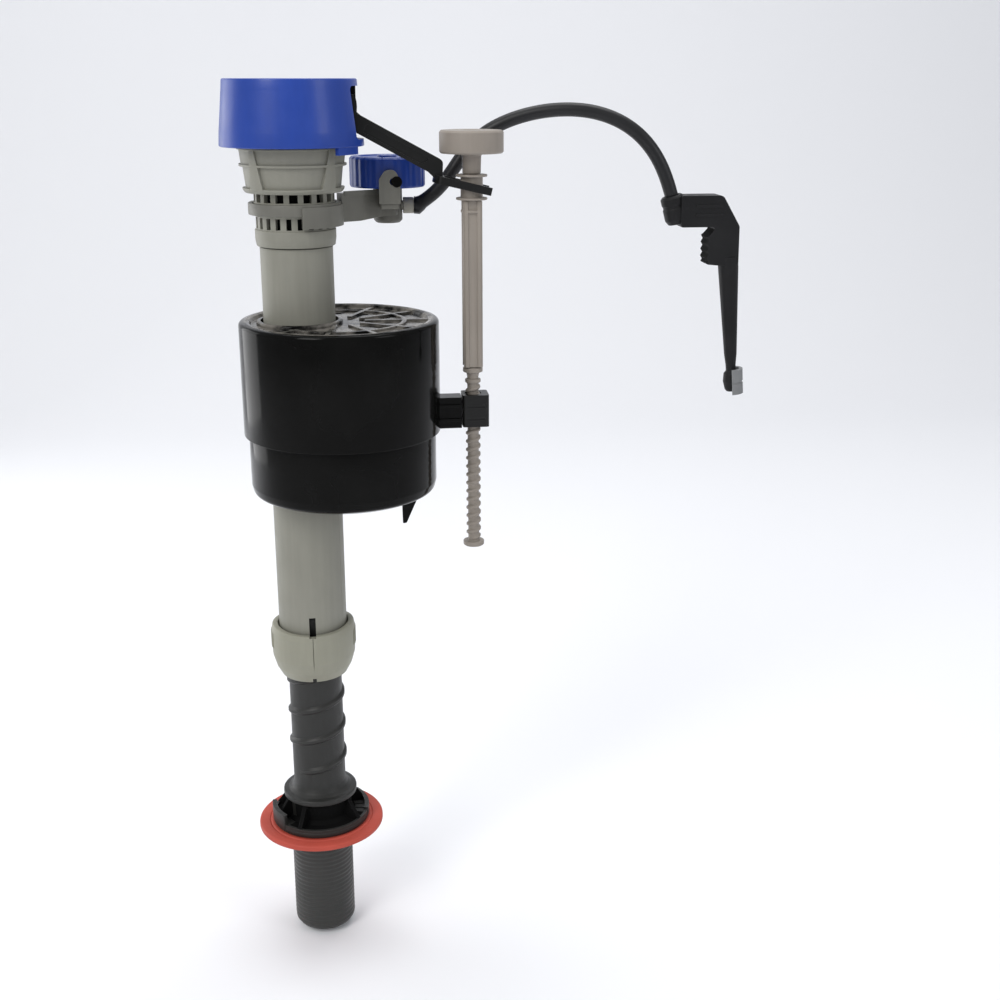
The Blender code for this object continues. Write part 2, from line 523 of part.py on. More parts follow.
turned(dial, rod_profile([
    (3.4, DIAL_Z1), (3.4, DIAL_Z1 - 0.8), (DIAL_R - 0.9, DIAL_Z1 - 0.8),
    (DIAL_R, DIAL_Z1 - 1.7), (DIAL_R, DIAL_Z0), (1.8, DIAL_Z0), (1.8, 235.0),
    (1.0, 234.0)]), 36, (DIAL_X, DIAL_Y), closed=False)
finish("refill_dial", dial, BLUE, DIAL)

# ---- refill tube and overflow adapter ----------------------------------------
LEAN = Matrix.Translation(HOSE_ROUTE[-1]) @ Matrix.Rotation(
    math.radians(-COLLAR_LEAN), 4, "Y")


def make_hose():
    points = smooth_route(HOSE_ROUTE, HOSE_R * 4.4)
    curve = bpy.data.curves.new("refill_tube", "CURVE")
    curve.dimensions = "3D"
    curve.bevel_depth = HOSE_R * MM
    curve.bevel_resolution = 2
    curve.use_fill_caps = True
    spline = curve.splines.new("POLY")
    spline.points.add(len(points) - 1)
    for slot, p in zip(spline.points, points):
        slot.co = (p.x * MM, p.y * MM, p.z * MM, 1.0)
    spline.use_smooth = True
    obj = bpy.data.objects.new("refill_tube", curve)
    curve.materials.append(RUBBER)
    bpy.context.scene.collection.objects.link(obj)
    obj.parent = RISER


make_hose()
Y0, Y1 = ADAPTER_Y - 4.6, ADAPTER_Y + 4.6
SPOUT = Matrix.Translation(SPOUT_TOP) @ Matrix.Rotation(math.radians(-SPOUT_LEAN), 4, "Y") \
    @ Matrix.Translation((0, 0, -SPOUT_TOP[2]))
adapter = prism("overflow_adapter", [
    (BAR_X0, BAR_Z1), (BAR_X0, BAR_Z0), (NECK_X0, BAR_Z0), (NECK_X0, BLOCK_Z1),
    (BLOCK_X0, BLOCK_Z1), (BLOCK_X0, BLOCK_Z0), (BAR_X1, BLOCK_Z0), (BAR_X1, BAR_Z0 + 0.6),
    (154.8, BAR_Z1)], Y0, Y1, mat=BLACK, parent=RISER)
fuse(adapter, lathe("guide_adapter_inlet", rod_profile([
    (4.3, -0.6), (4.3, -7.6), (3.4, -9.3)]), 20, parent=RISER, closed=False, tilt=LEAN))
fuse(adapter, lathe("guide_spout", rod_profile([
    (3.3, BLOCK_Z0 + 2.0), (2.2, SPOUT_Z0 + 4.0), (1.9, SPOUT_Z0 + 0.6), (1.9, SPOUT_Z0 - 1.6),
    (2.7, SPOUT_Z0 - 2.4), (2.9, SPOUT_Z0 - 6.0), (2.2, TIP_Z0 + 0.8)]), 20,
    parent=RISER, closed=False, tilt=SPOUT))
cut(adapter, lathe("cut_spout_bore", rod_profile([
    (1.2, BAR_Z0 + 4.0), (1.2, TIP_Z0 - 4.0)]), 12, parent=RISER,
    closed=False, tilt=SPOUT))
cut(adapter, lathe("cut_inlet_bore", rod_profile([(2.0, 6.0), (2.0, -8.0)]), 12,
                   parent=RISER, closed=False, tilt=LEAN))
tip = bmesh.new()
add_prism(tip, arc_points(4.4, -100, 100, 14) + arc_points(3.2, 100, -100, 14),
          TIP_Z0, SPOUT_Z0 - 0.6, across="Z")
bmesh.ops.transform(tip, matrix=SPOUT, verts=tip.verts[:])
finish("spout_tip", tip, PALE, RISER, smooth=False)
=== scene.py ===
"""Looks of the toilet fill valve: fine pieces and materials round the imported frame."""
import math

import bmesh
import bpy
from mathutils import Matrix, Vector


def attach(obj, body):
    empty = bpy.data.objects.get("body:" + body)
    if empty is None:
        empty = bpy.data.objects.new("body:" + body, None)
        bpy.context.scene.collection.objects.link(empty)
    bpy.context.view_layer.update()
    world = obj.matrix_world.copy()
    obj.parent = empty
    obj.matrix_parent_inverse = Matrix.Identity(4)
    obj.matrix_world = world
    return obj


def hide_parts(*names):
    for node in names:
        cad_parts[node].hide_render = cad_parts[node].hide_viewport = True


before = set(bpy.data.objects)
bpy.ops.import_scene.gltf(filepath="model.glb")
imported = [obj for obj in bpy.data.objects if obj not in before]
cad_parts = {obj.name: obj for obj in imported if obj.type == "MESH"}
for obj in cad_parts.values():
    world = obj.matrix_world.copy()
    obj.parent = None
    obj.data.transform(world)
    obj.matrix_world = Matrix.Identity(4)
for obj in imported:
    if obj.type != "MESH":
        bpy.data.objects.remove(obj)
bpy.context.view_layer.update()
MM = 0.001
COLL = bpy.context.scene.collection


# ---------------------------------------------------------------- camera first
def make_camera():
    data = bpy.data.cameras.new("camera")
    cam = bpy.data.objects.new("camera", data)
    COLL.objects.link(cam)
    cam.location = (0.01146, -0.4805, 0.2816)
    data.sensor_width = 36.0
    data.lens = 48.6
    data.clip_start, data.clip_end = 0.01, 20.0
    yaw, pitch = math.radians(-7.12), math.radians(-17.35)
    cam.rotation_euler = (math.pi / 2 + pitch, 0.0, yaw)
    bpy.context.scene.camera = cam
    return cam


camera = make_camera()


# ------------------------------------------------------------------- modelling
def finish(name, bm, angle=32.0, smooth=True):
    """Object of a bmesh in millimetres."""
    bmesh.ops.recalc_face_normals(bm, faces=bm.faces[:])
    bmesh.ops.scale(bm, vec=(MM, MM, MM), verts=bm.verts[:])
    mesh = bpy.data.meshes.new(name)
    bm.to_mesh(mesh)
    bm.free()
    if smooth:
        mesh.shade_smooth()
        mesh.set_sharp_from_angle(angle=math.radians(angle))
    obj = bpy.data.objects.new(name, mesh)
    COLL.objects.link(obj)
    return obj


def rounded(points, radii=None, steps=4, closed=True):
    """Profile with each corner rounded. radii is one radius or a list, one for each point."""
    n = len(points)
    if radii is None:
        radii = 0.0
    if not isinstance(radii, (list, tuple)):
        radii = [radii] * n
    out = []
    for i, p in enumerate(points):
        p = Vector(p)
        r = radii[i]
        if r <= 0 or (not closed and i in (0, n - 1)):
            out.append((p.x, p.y))
            continue
        a, b = Vector(points[i - 1]), Vector(points[(i + 1) % n])
        u, v = (a - p), (b - p)
        lu, lv = u.length, v.length
        if lu < 1e-6 or lv < 1e-6:
            out.append((p.x, p.y))
            continue
        u, v = u / lu, v / lv
        ang = math.acos(max(-1.0, min(1.0, u.dot(v))))
        if ang > math.pi - 0.02 or ang < 0.02:
            out.append((p.x, p.y))
            continue
        d = min(r / math.tan(ang / 2), 0.49 * lu, 0.49 * lv)
        rr = d * math.tan(ang / 2)
        c = p + (u + v).normalized() * (rr / math.sin(ang / 2))
        s, e = p + u * d - c, p + v * d - c
        a0 = math.atan2(s.y, s.x)
        turn = math.atan2(e.y, e.x) - a0
        turn = (turn + math.pi) % (2 * math.pi) - math.pi
        for k in range(steps + 1):
            t = a0 + turn * k / steps
            out.append((c.x + rr * math.cos(t), c.y + rr * math.sin(t)))
    return out


def turned(bm, profile, segments, closed=True, matrix=None, around=None):
    """Spins (radius, z) about Z. around(angle, r, z) may move each point."""
    rings = []
    made = []
    for r, z in profile:
        if r <= 1e-6:
            v = bm.verts.new((0, 0, z))
            rings.append([v] * segments)
            made.append(v)
            continue
        ring = []
        for i in range(segments):
            a = 2 * math.pi * i / segments
            rr, zz = around(a, r, z) if around else (r, z)
            ring.append(bm.verts.new((rr * math.cos(a), rr * math.sin(a), zz)))
        rings.append(ring)
        made += ring
    pairs = list(zip(rings, rings[1:]))
    if closed:
        pairs.append((rings[-1], rings[0]))
    for a, b in pairs:
        for i in range(segments):
            j = (i + 1) % segments
            corners = [a[i], a[j], b[j], b[i]]
            loop = []
            for c in corners:
                if c not in loop:
                    loop.append(c)
            if len(loop) > 2:
                bm.faces.new(loop)
    if matrix is not None:
        bmesh.ops.transform(bm, matrix=matrix, verts=made)
    return made


def lathe(name, profile, segments=96, closed=True, centre=(0, 0), matrix=None, around=None,
          angle=32.0):
    bm = bmesh.new()
    place = matrix if matrix is not None else Matrix.Translation((centre[0], centre[1], 0))
    turned(bm, profile, segments, closed, place, around)
    return finish(name, bm, angle)


def rod(points):
    return [(0.0, points[0][1])] + points + [(0.0, points[-1][1])]


def ring(r_in, r_out, z0, z1):
    return [(r_out, z1), (r_out, z0), (r_in, z0), (r_in, z1)]


def add_prism(bm, outline, lo, hi, across="Y", matrix=None):
    def at(p, h):
        return (p[0], h, p[1]) if across == "Y" else (p[0], p[1], h)
    low = [bm.verts.new(at(p, lo)) for p in outline]
    high = [bm.verts.new(at(p, hi)) for p in outline]
    bm.faces.new(low)
    bm.faces.new(high)
    n = len(outline)
    for i in range(n):
        j = (i + 1) % n
        bm.faces.new((low[i], low[j], high[j], high[i]))
    if matrix is not None:
        bmesh.ops.transform(bm, matrix=matrix, verts=low + high)
    return low + high


def prism(name, outline, lo, hi, across="Y", matrix=None, smooth=True, angle=32.0):
    bm = bmesh.new()
    add_prism(bm, outline, lo, hi, across, matrix)
    return finish(name, bm, angle, smooth)


def add_box(bm, lo, hi, turn=0.0, matrix=None):
    size = [b - a for a, b in zip(lo, hi)]
    mid = [(a + b) / 2 for a, b in zip(lo, hi)]
    place = Matrix.Rotation(turn, 4, "Z") @ Matrix.Translation(mid) @ Matrix.Diagonal((*size, 1.0))
    if matrix is not None:
        place = matrix @ place
    bmesh.ops.create_cube(bm, size=1.0, matrix=place)


def boxes(name, items):
    bm = bmesh.new()
    for item in items:
        add_box(bm, *item)
    return finish(name, bm, smooth=False)


def join_bool(obj, other, operation):
    """Applies a Boolean and removes the helper."""
    mod = obj.modifiers.new("b", "BOOLEAN")
    mod.operation = operation
    mod.solver = "EXACT"
    mod.object = other
    graph = bpy.context.evaluated_depsgraph_get()
    graph.update()
    mesh = bpy.data.meshes.new_from_object(obj.evaluated_get(graph))
    obj.modifiers.remove(mod)
    old = obj.data
    obj.data = mesh
    bpy.data.meshes.remove(old)
    bpy.data.objects.remove(other)
    return obj


def cut(obj, other):
    return join_bool(obj, other, "DIFFERENCE")


def fuse(obj, other):
    return join_bool(obj, other, "UNION")


def soften(obj, width, segments=2, angle=32.0):
    """Rounds the sharp edges that booleans leave, and keeps flat faces flat."""
    mod = obj.modifiers.new("edge", "BEVEL")
    mod.width = width * MM
    mod.segments = segments
    mod.limit_method = "ANGLE"
    mod.angle_limit = math.radians(angle)
    mod.harden_normals = True
    mod.use_clamp_overlap = True
    return obj


def resharp(obj, angle=32.0):
    obj.data.shade_smooth()
    obj.data.set_sharp_from_angle(angle=math.radians(angle))
    return obj


def screw(bm, centre, r_core, r_top, pitch, z0, z1, flat=0.2, sides=48, rise=0.22):
    """A screw's skin: its radius follows the thread's own profile, with run-outs."""
    step = pitch / 14.0
    rows = int(round((z1 - z0) / step))
    rings = []
    for k in range(rows + 1):
        z = z0 + (z1 - z0) * k / rows
        end = min(1.0, (z - z0) / (0.6 * pitch), (z1 - z) / (0.6 * pitch))
        ring_row = []
        for i in range(sides):
            turn = i / sides
            d = abs(((z / pitch - turn) % 1.0) - 0.5)
            h = max(0.0, min(1.0, (flat + rise - d) / rise))
            r = r_core + (r_top - r_core) * h * max(0.0, end)
            a = 2 * math.pi * turn
            ring_row.append(bm.verts.new((centre[0] + r * math.cos(a),
                                          centre[1] + r * math.sin(a), z)))
        rings.append(ring_row)
    for a, b in zip(rings, rings[1:]):
        for i in range(sides):
            j = (i + 1) % sides
            bm.faces.new((a[i], a[j], b[j], b[i]))
    bm.faces.new(rings[0])
    bm.faces.new(rings[-1])


def add_shell(obj, bm):
    """Adds a closed shell in millimetres to an object, without a Boolean."""
    extra = finish("extra", bm)
    whole = bmesh.new()
    whole.from_mesh(obj.data)
    whole.from_mesh(extra.data)
    whole.to_mesh(obj.data)
    whole.free()
    bpy.data.objects.remove(extra)
    return resharp(obj, 30)


def arc(radius, first, last, count):
    return [(radius * math.cos(math.radians(first + (last - first) * i / count)),
             radius * math.sin(math.radians(first + (last - first) * i / count)))
            for i in range(count + 1)]


# ------------------------------------------------------------------- materials
def srgb(r, g, b):
    def lin(c):
        c /= 255.0
        return c / 12.92 if c <= 0.04045 else ((c + 0.055) / 1.055) ** 2.4
    return (lin(r), lin(g), lin(b), 1.0)


def plastic(name, colour, rough=0.45, spread=0.06, grain=0.05, grain_scale=1400.0, coat=0.0,
            specular=0.5, sub=0.0, streak=0.0, scuff=0.35, ior=1.48, zone=None,
            within=None):
    """Moulded plastic: slight colour drift, fine moulded grain, faint flow streaks and
    scuffed, slightly paler edges. All patterns are in object space, so they stay put."""
    mat = bpy.data.materials.new(name)
    mat.use_nodes = True
    tree = mat.node_tree
    nodes, links = tree.nodes, tree.links
    shader = nodes["Principled BSDF"]
    shader.inputs["Specular IOR Level"].default_value = specular
    shader.inputs["IOR"].default_value = ior
    shader.inputs["Coat Weight"].default_value = coat
    shader.inputs["Coat Roughness"].default_value = 0.12
    if sub:
        shader.inputs["Subsurface Weight"].default_value = sub
        shader.inputs["Subsurface Radius"].default_value = (0.002, 0.0016, 0.0012)
    where = nodes.new("ShaderNodeTexCoord")

    def noise(scale, detail=3.0, stretch=None):
        tex = nodes.new("ShaderNodeTexNoise")
        tex.inputs["Scale"].default_value = scale
        tex.inputs["Detail"].default_value = detail
        if stretch:
            mapping = nodes.new("ShaderNodeMapping")
            mapping.inputs["Scale"].default_value = stretch
            links.new(where.outputs["Object"], mapping.inputs["Vector"])
            links.new(mapping.outputs["Vector"], tex.inputs["Vector"])
        else:
            links.new(where.outputs["Object"], tex.inputs["Vector"])
        return tex

    def mix(kind="MIX"):
        node = nodes.new("ShaderNodeMix")
        node.data_type = "RGBA"
        node.blend_type = kind
        return node

    dark = tuple(c * (1 - spread) for c in colour[:3]) + (1.0,)
    light = tuple(min(1.0, c * (1 + spread) + 0.002) for c in colour[:3]) + (1.0,)
    drift = noise(38.0, 4.0)
    ramp = nodes.new("ShaderNodeValToRGB")
    ramp.color_ramp.elements[0].position = 0.35
    ramp.color_ramp.elements[0].color = dark
    ramp.color_ramp.elements[1].position = 0.68
    ramp.color_ramp.elements[1].color = light
    links.new(drift.outputs["Fac"], ramp.inputs["Fac"])
    tone = ramp.outputs["Color"]
    if streak:
        flow = noise(60.0, 2.0, (9.0, 9.0, 0.7))
        wipe = mix("OVERLAY")
        wipe.inputs["Factor"].default_value = streak
        links.new(tone, wipe.inputs["A"])
        links.new(flow.outputs["Fac"], wipe.inputs["B"])
        tone = wipe.outputs["Result"]
    if zone:
        # a second tone above a height of the piece's own space, mottled by a noise; on the float's lid this
        # is a painted reflection
        height, soft, other, mottle = zone
        split = nodes.new("ShaderNodeSeparateXYZ")
        links.new(where.outputs["Object"], split.inputs["Vector"])
        step = nodes.new("ShaderNodeMapRange")
        step.inputs["From Min"].default_value = height - soft
        step.inputs["From Max"].default_value = height + soft
        links.new(split.outputs["Z"], step.inputs["Value"])
        gate = step.outputs["Result"]
        if mottle:
            spots = noise(mottle, 6.0)
            curve = nodes.new("ShaderNodeMapRange")
            curve.inputs["From Min"].default_value = 0.40
            curve.inputs["From Max"].default_value = 0.58
            links.new(spots.outputs["Fac"], curve.inputs["Value"])
            both = nodes.new("ShaderNodeMath")
            both.operation = "MULTIPLY"
            links.new(gate, both.inputs[0])
            links.new(curve.outputs["Result"], both.inputs[1])
            gate = both.outputs["Value"]
        if within:
            # only inside a circle round the piece's own centre
            flat = nodes.new("ShaderNodeVectorMath")
            flat.operation = "MULTIPLY_ADD"
            flat.inputs[1].default_value = (1.0, 1.0, 0.0)
            flat.inputs[2].default_value = (-within[0], -within[1], 0.0)
            links.new(where.outputs["Object"], flat.inputs[0])
            span = nodes.new("ShaderNodeVectorMath")
            span.operation = "LENGTH"
            links.new(flat.outputs["Vector"], span.inputs[0])
            edge_in = nodes.new("ShaderNodeMapRange")
            edge_in.inputs["From Min"].default_value = within[2] + 0.0006
            edge_in.inputs["From Max"].default_value = within[2] - 0.0006
            links.new(span.outputs["Value"], edge_in.inputs["Value"])
            inside = nodes.new("ShaderNodeMath")
            inside.operation = "MULTIPLY"
            links.new(gate, inside.inputs[0])
            links.new(edge_in.outputs["Result"], inside.inputs[1])
            gate = inside.outputs["Value"]
        layer = mix()
        layer.inputs["B"].default_value = other
        links.new(gate, layer.inputs["Factor"])
        links.new(tone, layer.inputs["A"])
        tone = layer.outputs["Result"]
    # paler, rubbed edges
    bevel = nodes.new("ShaderNodeBevel")
    bevel.samples = 4
    bevel.inputs["Radius"].default_value = 0.0007
    geo = nodes.new("ShaderNodeNewGeometry")
    dot = nodes.new("ShaderNodeVectorMath")
    dot.operation = "DOT_PRODUCT"
    links.new(bevel.outputs["Normal"], dot.inputs[0])
    links.new(geo.outputs["Normal"], dot.inputs[1])
    edge = nodes.new("ShaderNodeMapRange")
    edge.inputs["From Min"].default_value = 0.995
    edge.inputs["From Max"].default_value = 0.86
    edge.inputs["To Min"].default_value = 0.0
    edge.inputs["To Max"].default_value = scuff
    links.new(dot.outputs["Value"], edge.inputs["Value"])
    rub = mix()
    pale = tuple(min(1.0, c * 1.35 + 0.012) for c in colour[:3]) + (1.0,)
    rub.inputs["B"].default_value = pale
    links.new(edge.outputs["Result"], rub.inputs["Factor"])
    links.new(tone, rub.inputs["A"])
    links.new(rub.outputs["Result"], shader.inputs["Base Color"])
    # roughness: even with faint handling marks
    marks = noise(120.0, 5.0)
    rr = nodes.new("ShaderNodeMapRange")
    rr.inputs["From Min"].default_value = 0.3
    rr.inputs["From Max"].default_value = 0.75
    rr.inputs["To Min"].default_value = max(0.03, rough - 0.06)
    rr.inputs["To Max"].default_value = rough + 0.09
    links.new(marks.outputs["Fac"], rr.inputs["Value"])
    links.new(rr.outputs["Result"], shader.inputs["Roughness"])
    # moulded grain
    fine = noise(grain_scale, 2.0)
    bump = nodes.new("ShaderNodeBump")
    bump.inputs["Strength"].default_value = grain
    bump.inputs["Distance"].default_value = 0.0004
    links.new(fine.outputs["Fac"], bump.inputs["Height"])
    links.new(bump.outputs["Normal"], shader.inputs["Normal"])
    return mat


MATS = {
    "blue": plastic("cap_blue", srgb(30, 63, 150), 0.34, 0.08, 0.05, 1500, coat=0.05,
                    specular=0.4, streak=0.06, scuff=0.3),
    "grey": plastic("valve_grey", srgb(133, 132, 122), 0.5, 0.05, 0.07, 1500, specular=0.35,
                    streak=0.08, sub=0.03),
    # darker copy of the valve grey for the refill housing: painted shade under the cap and dial
    "arm": plastic("refill_grey_shaded", srgb(106, 105, 98), 0.46, 0.12, 0.08, 1500, specular=0.35,
                   streak=0.1),
    "pale": plastic("pale_grey", srgb(166, 163, 152), 0.5, 0.05, 0.06, 1500, specular=0.35,
                    streak=0.05, sub=0.04),
    "collar": plastic("collar_grey", srgb(143, 142, 128), 0.5, 0.05, 0.06, 1500,
                      specular=0.35, streak=0.06, sub=0.03),
    "dark": plastic("shank_grey", srgb(50, 50, 48), 0.46, 0.12, 0.14, 1200, specular=0.42,
                    streak=0.12, scuff=0.4, zone=(0.001, 0.0015, srgb(36, 36, 34), 0)),
    "black": plastic("black_satin", srgb(16, 16, 15), 0.33, 0.12, 0.07, 1400, specular=0.3,
                     scuff=0.5),
    # black gloss; the mottled pale grey on the lid's top inside the rim is a painted reflection of the
    # light above
    "gloss": plastic("float_gloss", srgb(6, 6, 5), 0.11, 0.12, 0.012, 900,
                     specular=0.1, scuff=0.5,
                     zone=(0.1986, 0.0003, srgb(122, 118, 112), 150.0),
                     within=(0.0139, -0.0015, 0.0335)),
    "beige": plastic("rod_beige", srgb(141, 133, 124), 0.46, 0.06, 0.06, 1500, specular=0.38,
                     sub=0.04, streak=0.08),
    "red": plastic("washer_red", srgb(180, 74, 60), 0.55, 0.1, 0.16, 900, specular=0.3,
                   sub=0.02, scuff=0.4),
    "rubber": plastic("tube_rubber", srgb(24, 24, 26), 0.4, 0.1, 0.08, 1100, specular=0.35,
                      scuff=0.2),
    "adapter": plastic("adapter_black", srgb(30, 30, 31), 0.42, 0.14, 0.12, 1200,
                       specular=0.14, scuff=0.5),
    # near-black used as painted shade: recesses, holes and insides seen through gaps that are dark only
    # from shadow
    "painted_shade": plastic("painted_shade_black", srgb(13, 13, 13), 0.7, 0.1, 0.05, 1200, specular=0.05),
    "tip": plastic("tip_grey", srgb(120, 121, 122), 0.5, 0.08, 0.08, 1300, specular=0.4),
}


def steel():
    mat = bpy.data.materials.new("pin_steel")
    mat.use_nodes = True
    nodes, links = mat.node_tree.nodes, mat.node_tree.links
    shader = nodes["Principled BSDF"]
    shader.inputs["Metallic"].default_value = 1.0
    shader.inputs["Base Color"].default_value = (0.55, 0.55, 0.56, 1)
    where = nodes.new("ShaderNodeTexCoord")
    tex = nodes.new("ShaderNodeTexNoise")
    tex.inputs["Scale"].default_value = 900
    links.new(where.outputs["Object"], tex.inputs["Vector"])
    rr = nodes.new("ShaderNodeMapRange")
    rr.inputs["To Min"].default_value = 0.2
    rr.inputs["To Max"].default_value = 0.42
    links.new(tex.outputs["Fac"], rr.inputs["Value"])
    links.new(rr.outputs["Result"], shader.inputs["Roughness"])
    return mat


MATS["steel"] = steel()


def piece(obj, mat, body, *nodes):
    obj.data.materials.clear()
    obj.data.materials.append(MATS[mat])
    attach(obj, body)
    if nodes:
        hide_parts(*nodes)
    return obj


def second(obj, mat, first_face=0, test=None):
    """Gives some faces of a finished piece another material."""
    obj.data.materials.append(MATS[mat])
    index = len(obj.data.materials) - 1
    for k, face in enumerate(obj.data.polygons):
        if k >= first_face and (test is None or test(face.center / MM, face.normal)):
            face.material_index = index
    return obj


def join_mesh(obj, other):
    """Adds a helper's faces after the piece's own; returns how many the piece had."""
    whole = bmesh.new()
    whole.from_mesh(obj.data)
    count = len(whole.faces)
    whole.from_mesh(other.data)
    whole.to_mesh(obj.data)
    whole.free()
    bpy.data.objects.remove(other)
    return count


def dress(node, mat):
    """A CAD node that stays, with a better material."""
    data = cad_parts[node].data
    data.materials.clear()
    data.materials.append(MATS[mat])


# ------------------------------------------------------- shank and its washer
def shank():
    bore, core = 7.7, 10.0
    profile = rounded([
        (core, 150.0), (core, 18.8), (10.8, 16.9), (12.3, 15.8), (14.2, 15.5), (14.2, 13.4),
        (13.0, 13.2), (12.2, 12.2), (11.8, 6.0), (13.2, 4.8), (18.7, 4.6), (18.7, 2.5), (11.7, 2.5),
        (11.7, -1.5), (11.35, -2.2), (11.35, -42.2), (10.6, -43.6), (10.0, -44.0), (6.9, -44.0),
        (6.4, -43.3), (6.4, 20.0), (bore, 24.0), (bore, 149.0), (8.3, 150.0)],
        [0.5, 2.0, 1.2, 1.4, 0.5, 0.5, 0.5, 1, 1, 0.6, 0.5, 0.4, 0, 0, 0, 0.4, 0.4, 0.2, 0.3, 0.3,
         0, 0, 0, 0.3], 3)
    body = lathe("threaded_shank_fine", profile, 120)
    # fins under the disc: the two at the sides stand up at their outer ends
    bm = bmesh.new()
    for turn in (-160, -117, -36, 22, 67, 112, 157):
        out = [(11.4, 4.2), (18.4, 4.2), (18.3, 5.6), (13.4, 12.8), (13.0, 14.0), (11.4, 14.0)]
        add_prism(bm, out, -0.8, 0.8, "Y", Matrix.Rotation(math.radians(turn), 4, "Z"))
    fuse(body, finish("fins", bm))
    # two curved walls standing on the flange, and a low rim round the rest
    bm = bmesh.new()
    for a0, a1, top in ((-183, -138, 9.6), (-14, 40, 6.6)):
        wall = arc(18.9, a0, a1, 14) + arc(17.2, a1, a0, 14)
        add_prism(bm, rounded(wall, 0.3, 2), 3.4, top, "Z")
    fuse(body, finish("walls", bm))
    bm = bmesh.new()
    turned(bm, ring(17.6, 18.6, 4.0, 5.7), 96)
    fuse(body, finish("rim", bm))
    # spiral rib
    bm = bmesh.new()
    per = 48
    steps = 9 * per
    rows = []
    for i in range(steps + 1):
        t = 2 * math.pi * i / per + 3.25
        fade = min(1.0, i / 14.0, (steps - i) / 14.0)
        fade = fade * fade * (3 - 2 * fade)
        top = 9.75 + 1.15 * fade
        mid = 24.0 + 12.8 * i / per
        row = []
        for r, dz in ((9.4, -1.75), (9.95, -1.55), (top - 0.28, -1.0), (top, -0.55), (top, 0.55),
                      (top - 0.28, 1.0), (9.95, 1.55), (9.4, 1.75)):
            rr = min(r, top)
            row.append(bm.verts.new((rr * math.cos(t), rr * math.sin(t), mid + dz)))
        rows.append(row)
    n = len(rows[0])
    for a, b in zip(rows, rows[1:]):
        for j in range(n):
            bm.faces.new((a[j], a[(j + 1) % n], b[(j + 1) % n], b[j]))
    bm.faces.new(rows[0])
    bm.faces.new(rows[-1])
    fuse(body, finish("rib", bm))
    # fine thread on the lower length, 14 turns to the inch
    bm = bmesh.new()
    screw(bm, (0.0, 0.0), 11.62, 11.8, 25.4 / 14, -42.0, -1.6, 0.1, 96, 0.3)
    cut_core = lathe("core_hole", rod([(11.2, 10.0), (11.2, -60.0)]), 96, closed=False)
    sleeve = finish("thread", bm)
    cut(sleeve, cut_core)
    whole = bmesh.new()
    whole.from_mesh(body.data)
    whole.from_mesh(sleeve.data)
    whole.to_mesh(body.data)
    whole.free()
    bpy.data.objects.remove(sleeve)
    resharp(body, 28)
    piece(body, "dark", "root", "threaded_shank")
    # the recess between disc and flange is coloured near-black: painted shade
    return second(body, "painted_shade", 0, lambda at, n: 4.7 < at.z < 13.2
                  and math.hypot(at.x, at.y) < 17.3 and not (n.x < -0.8 and n.y < 0))


def washer():
    prof = rounded([(24.2, 2.2), (24.2, 0.0), (15.5, 0.0), (13.4, -3.0), (12.2, -3.0),
                    (12.2, 2.2), (19.4, 2.2), (19.9, 1.85), (20.4, 2.2)],
                   [0.7, 0.6, 0.8, 0.4, 0.3, 0.3, 0.1, 0.2, 0.1], 4)
    obj = lathe("shank_washer_fine", prof, 128)
    return piece(obj, "red", "root", "shank_washer")


# ----------------------------------------------------------------------- riser
def riser():
    prof = rounded([(12.65, 225.9), (12.65, 200), (12.65, 150), (12.65, 100), (12.65, 76.4),
                    (11.35, 76.4), (11.35, 225.9)], [0.15, 0, 0, 0, 0.15, 0, 0], 2)
    obj = lathe("riser_tube_fine", prof, 128)
    # two mould lines, a fraction of a millimetre proud, and the foot's slots
    slots = boxes("slots", [((9.0, -1.2, 70.0), (14.0, 1.2, 91.2), math.radians(a))
                            for a in (-90, 90)])
    cut(obj, slots)
    lines = boxes("lines", [((12.45, -0.12, 90.0), (12.72, 0.12, 222.0), math.radians(a))
                            for a in (-28, 152)])
    fuse(obj, lines)
    resharp(obj)
    return piece(obj, "grey", "riser", "riser_tube")


def collar():
    def wave(a, r, z):
        # finger tabs rise at the two sides, and the front and back are lower
        side = 0.5 + 0.5 * math.cos(2 * a)
        if z > 80.0:
            z = z - (1 - side ** 1.5) * 0.9 * (z - 80.0) / 5.7
            r = r + side * 0.2 * (z - 80.0) / 5.7
        return r, z
    prof = rounded([(15.0, 85.6), (15.6, 83.0), (15.7, 78.0), (15.5, 73.2), (14.2, 68.8),
                    (12.3, 65.2), (11.3, 65.2), (11.3, 76.0), (12.95, 76.0), (12.95, 85.7)],
                   [0.7, 2.0, 3.0, 5.0, 2.4, 0.6, 0.2, 0.1, 0.1, 0.5], 5)
    # more rings near the top edge so that the wave bends smoothly
    obj = lathe("lock_collar_fine", prof, 144, around=wave)
    cutter = boxes("cuts", [
        ((14.9, -0.14, 60.0), (18.0, 0.14, 90.0), math.radians(-90)),
        ((14.9, -0.14, 60.0), (18.0, 0.14, 90.0), math.radians(90))])
    cut(obj, cutter)
    notch = boxes("notch", [
        ((10.0, -0.7, 62.0), (18.0, 0.7, 67.0), math.radians(-90)),
        ((10.0, -0.7, 62.0), (18.0, 0.7, 67.0), math.radians(90)),
        ((10.0, -1.25, 84.0), (18.0, 1.25, 90.0), math.radians(-90)),
        ((10.0, -1.25, 84.0), (18.0, 1.25, 90.0), math.radians(90))])
    cut(obj, notch)
    # grip ribs on the two side tabs
    bm = bmesh.new()
    for side in (0, 180):
        for k in range(-3, 4):
            add_box(bm, (15.2, -0.22, 76.5), (15.95, 0.22, 82.6), math.radians(side + k * 5.5))
    fuse(obj, finish("grip", bm))
    resharp(obj, 30)
    return piece(obj, "collar", "riser", "lock_collar")


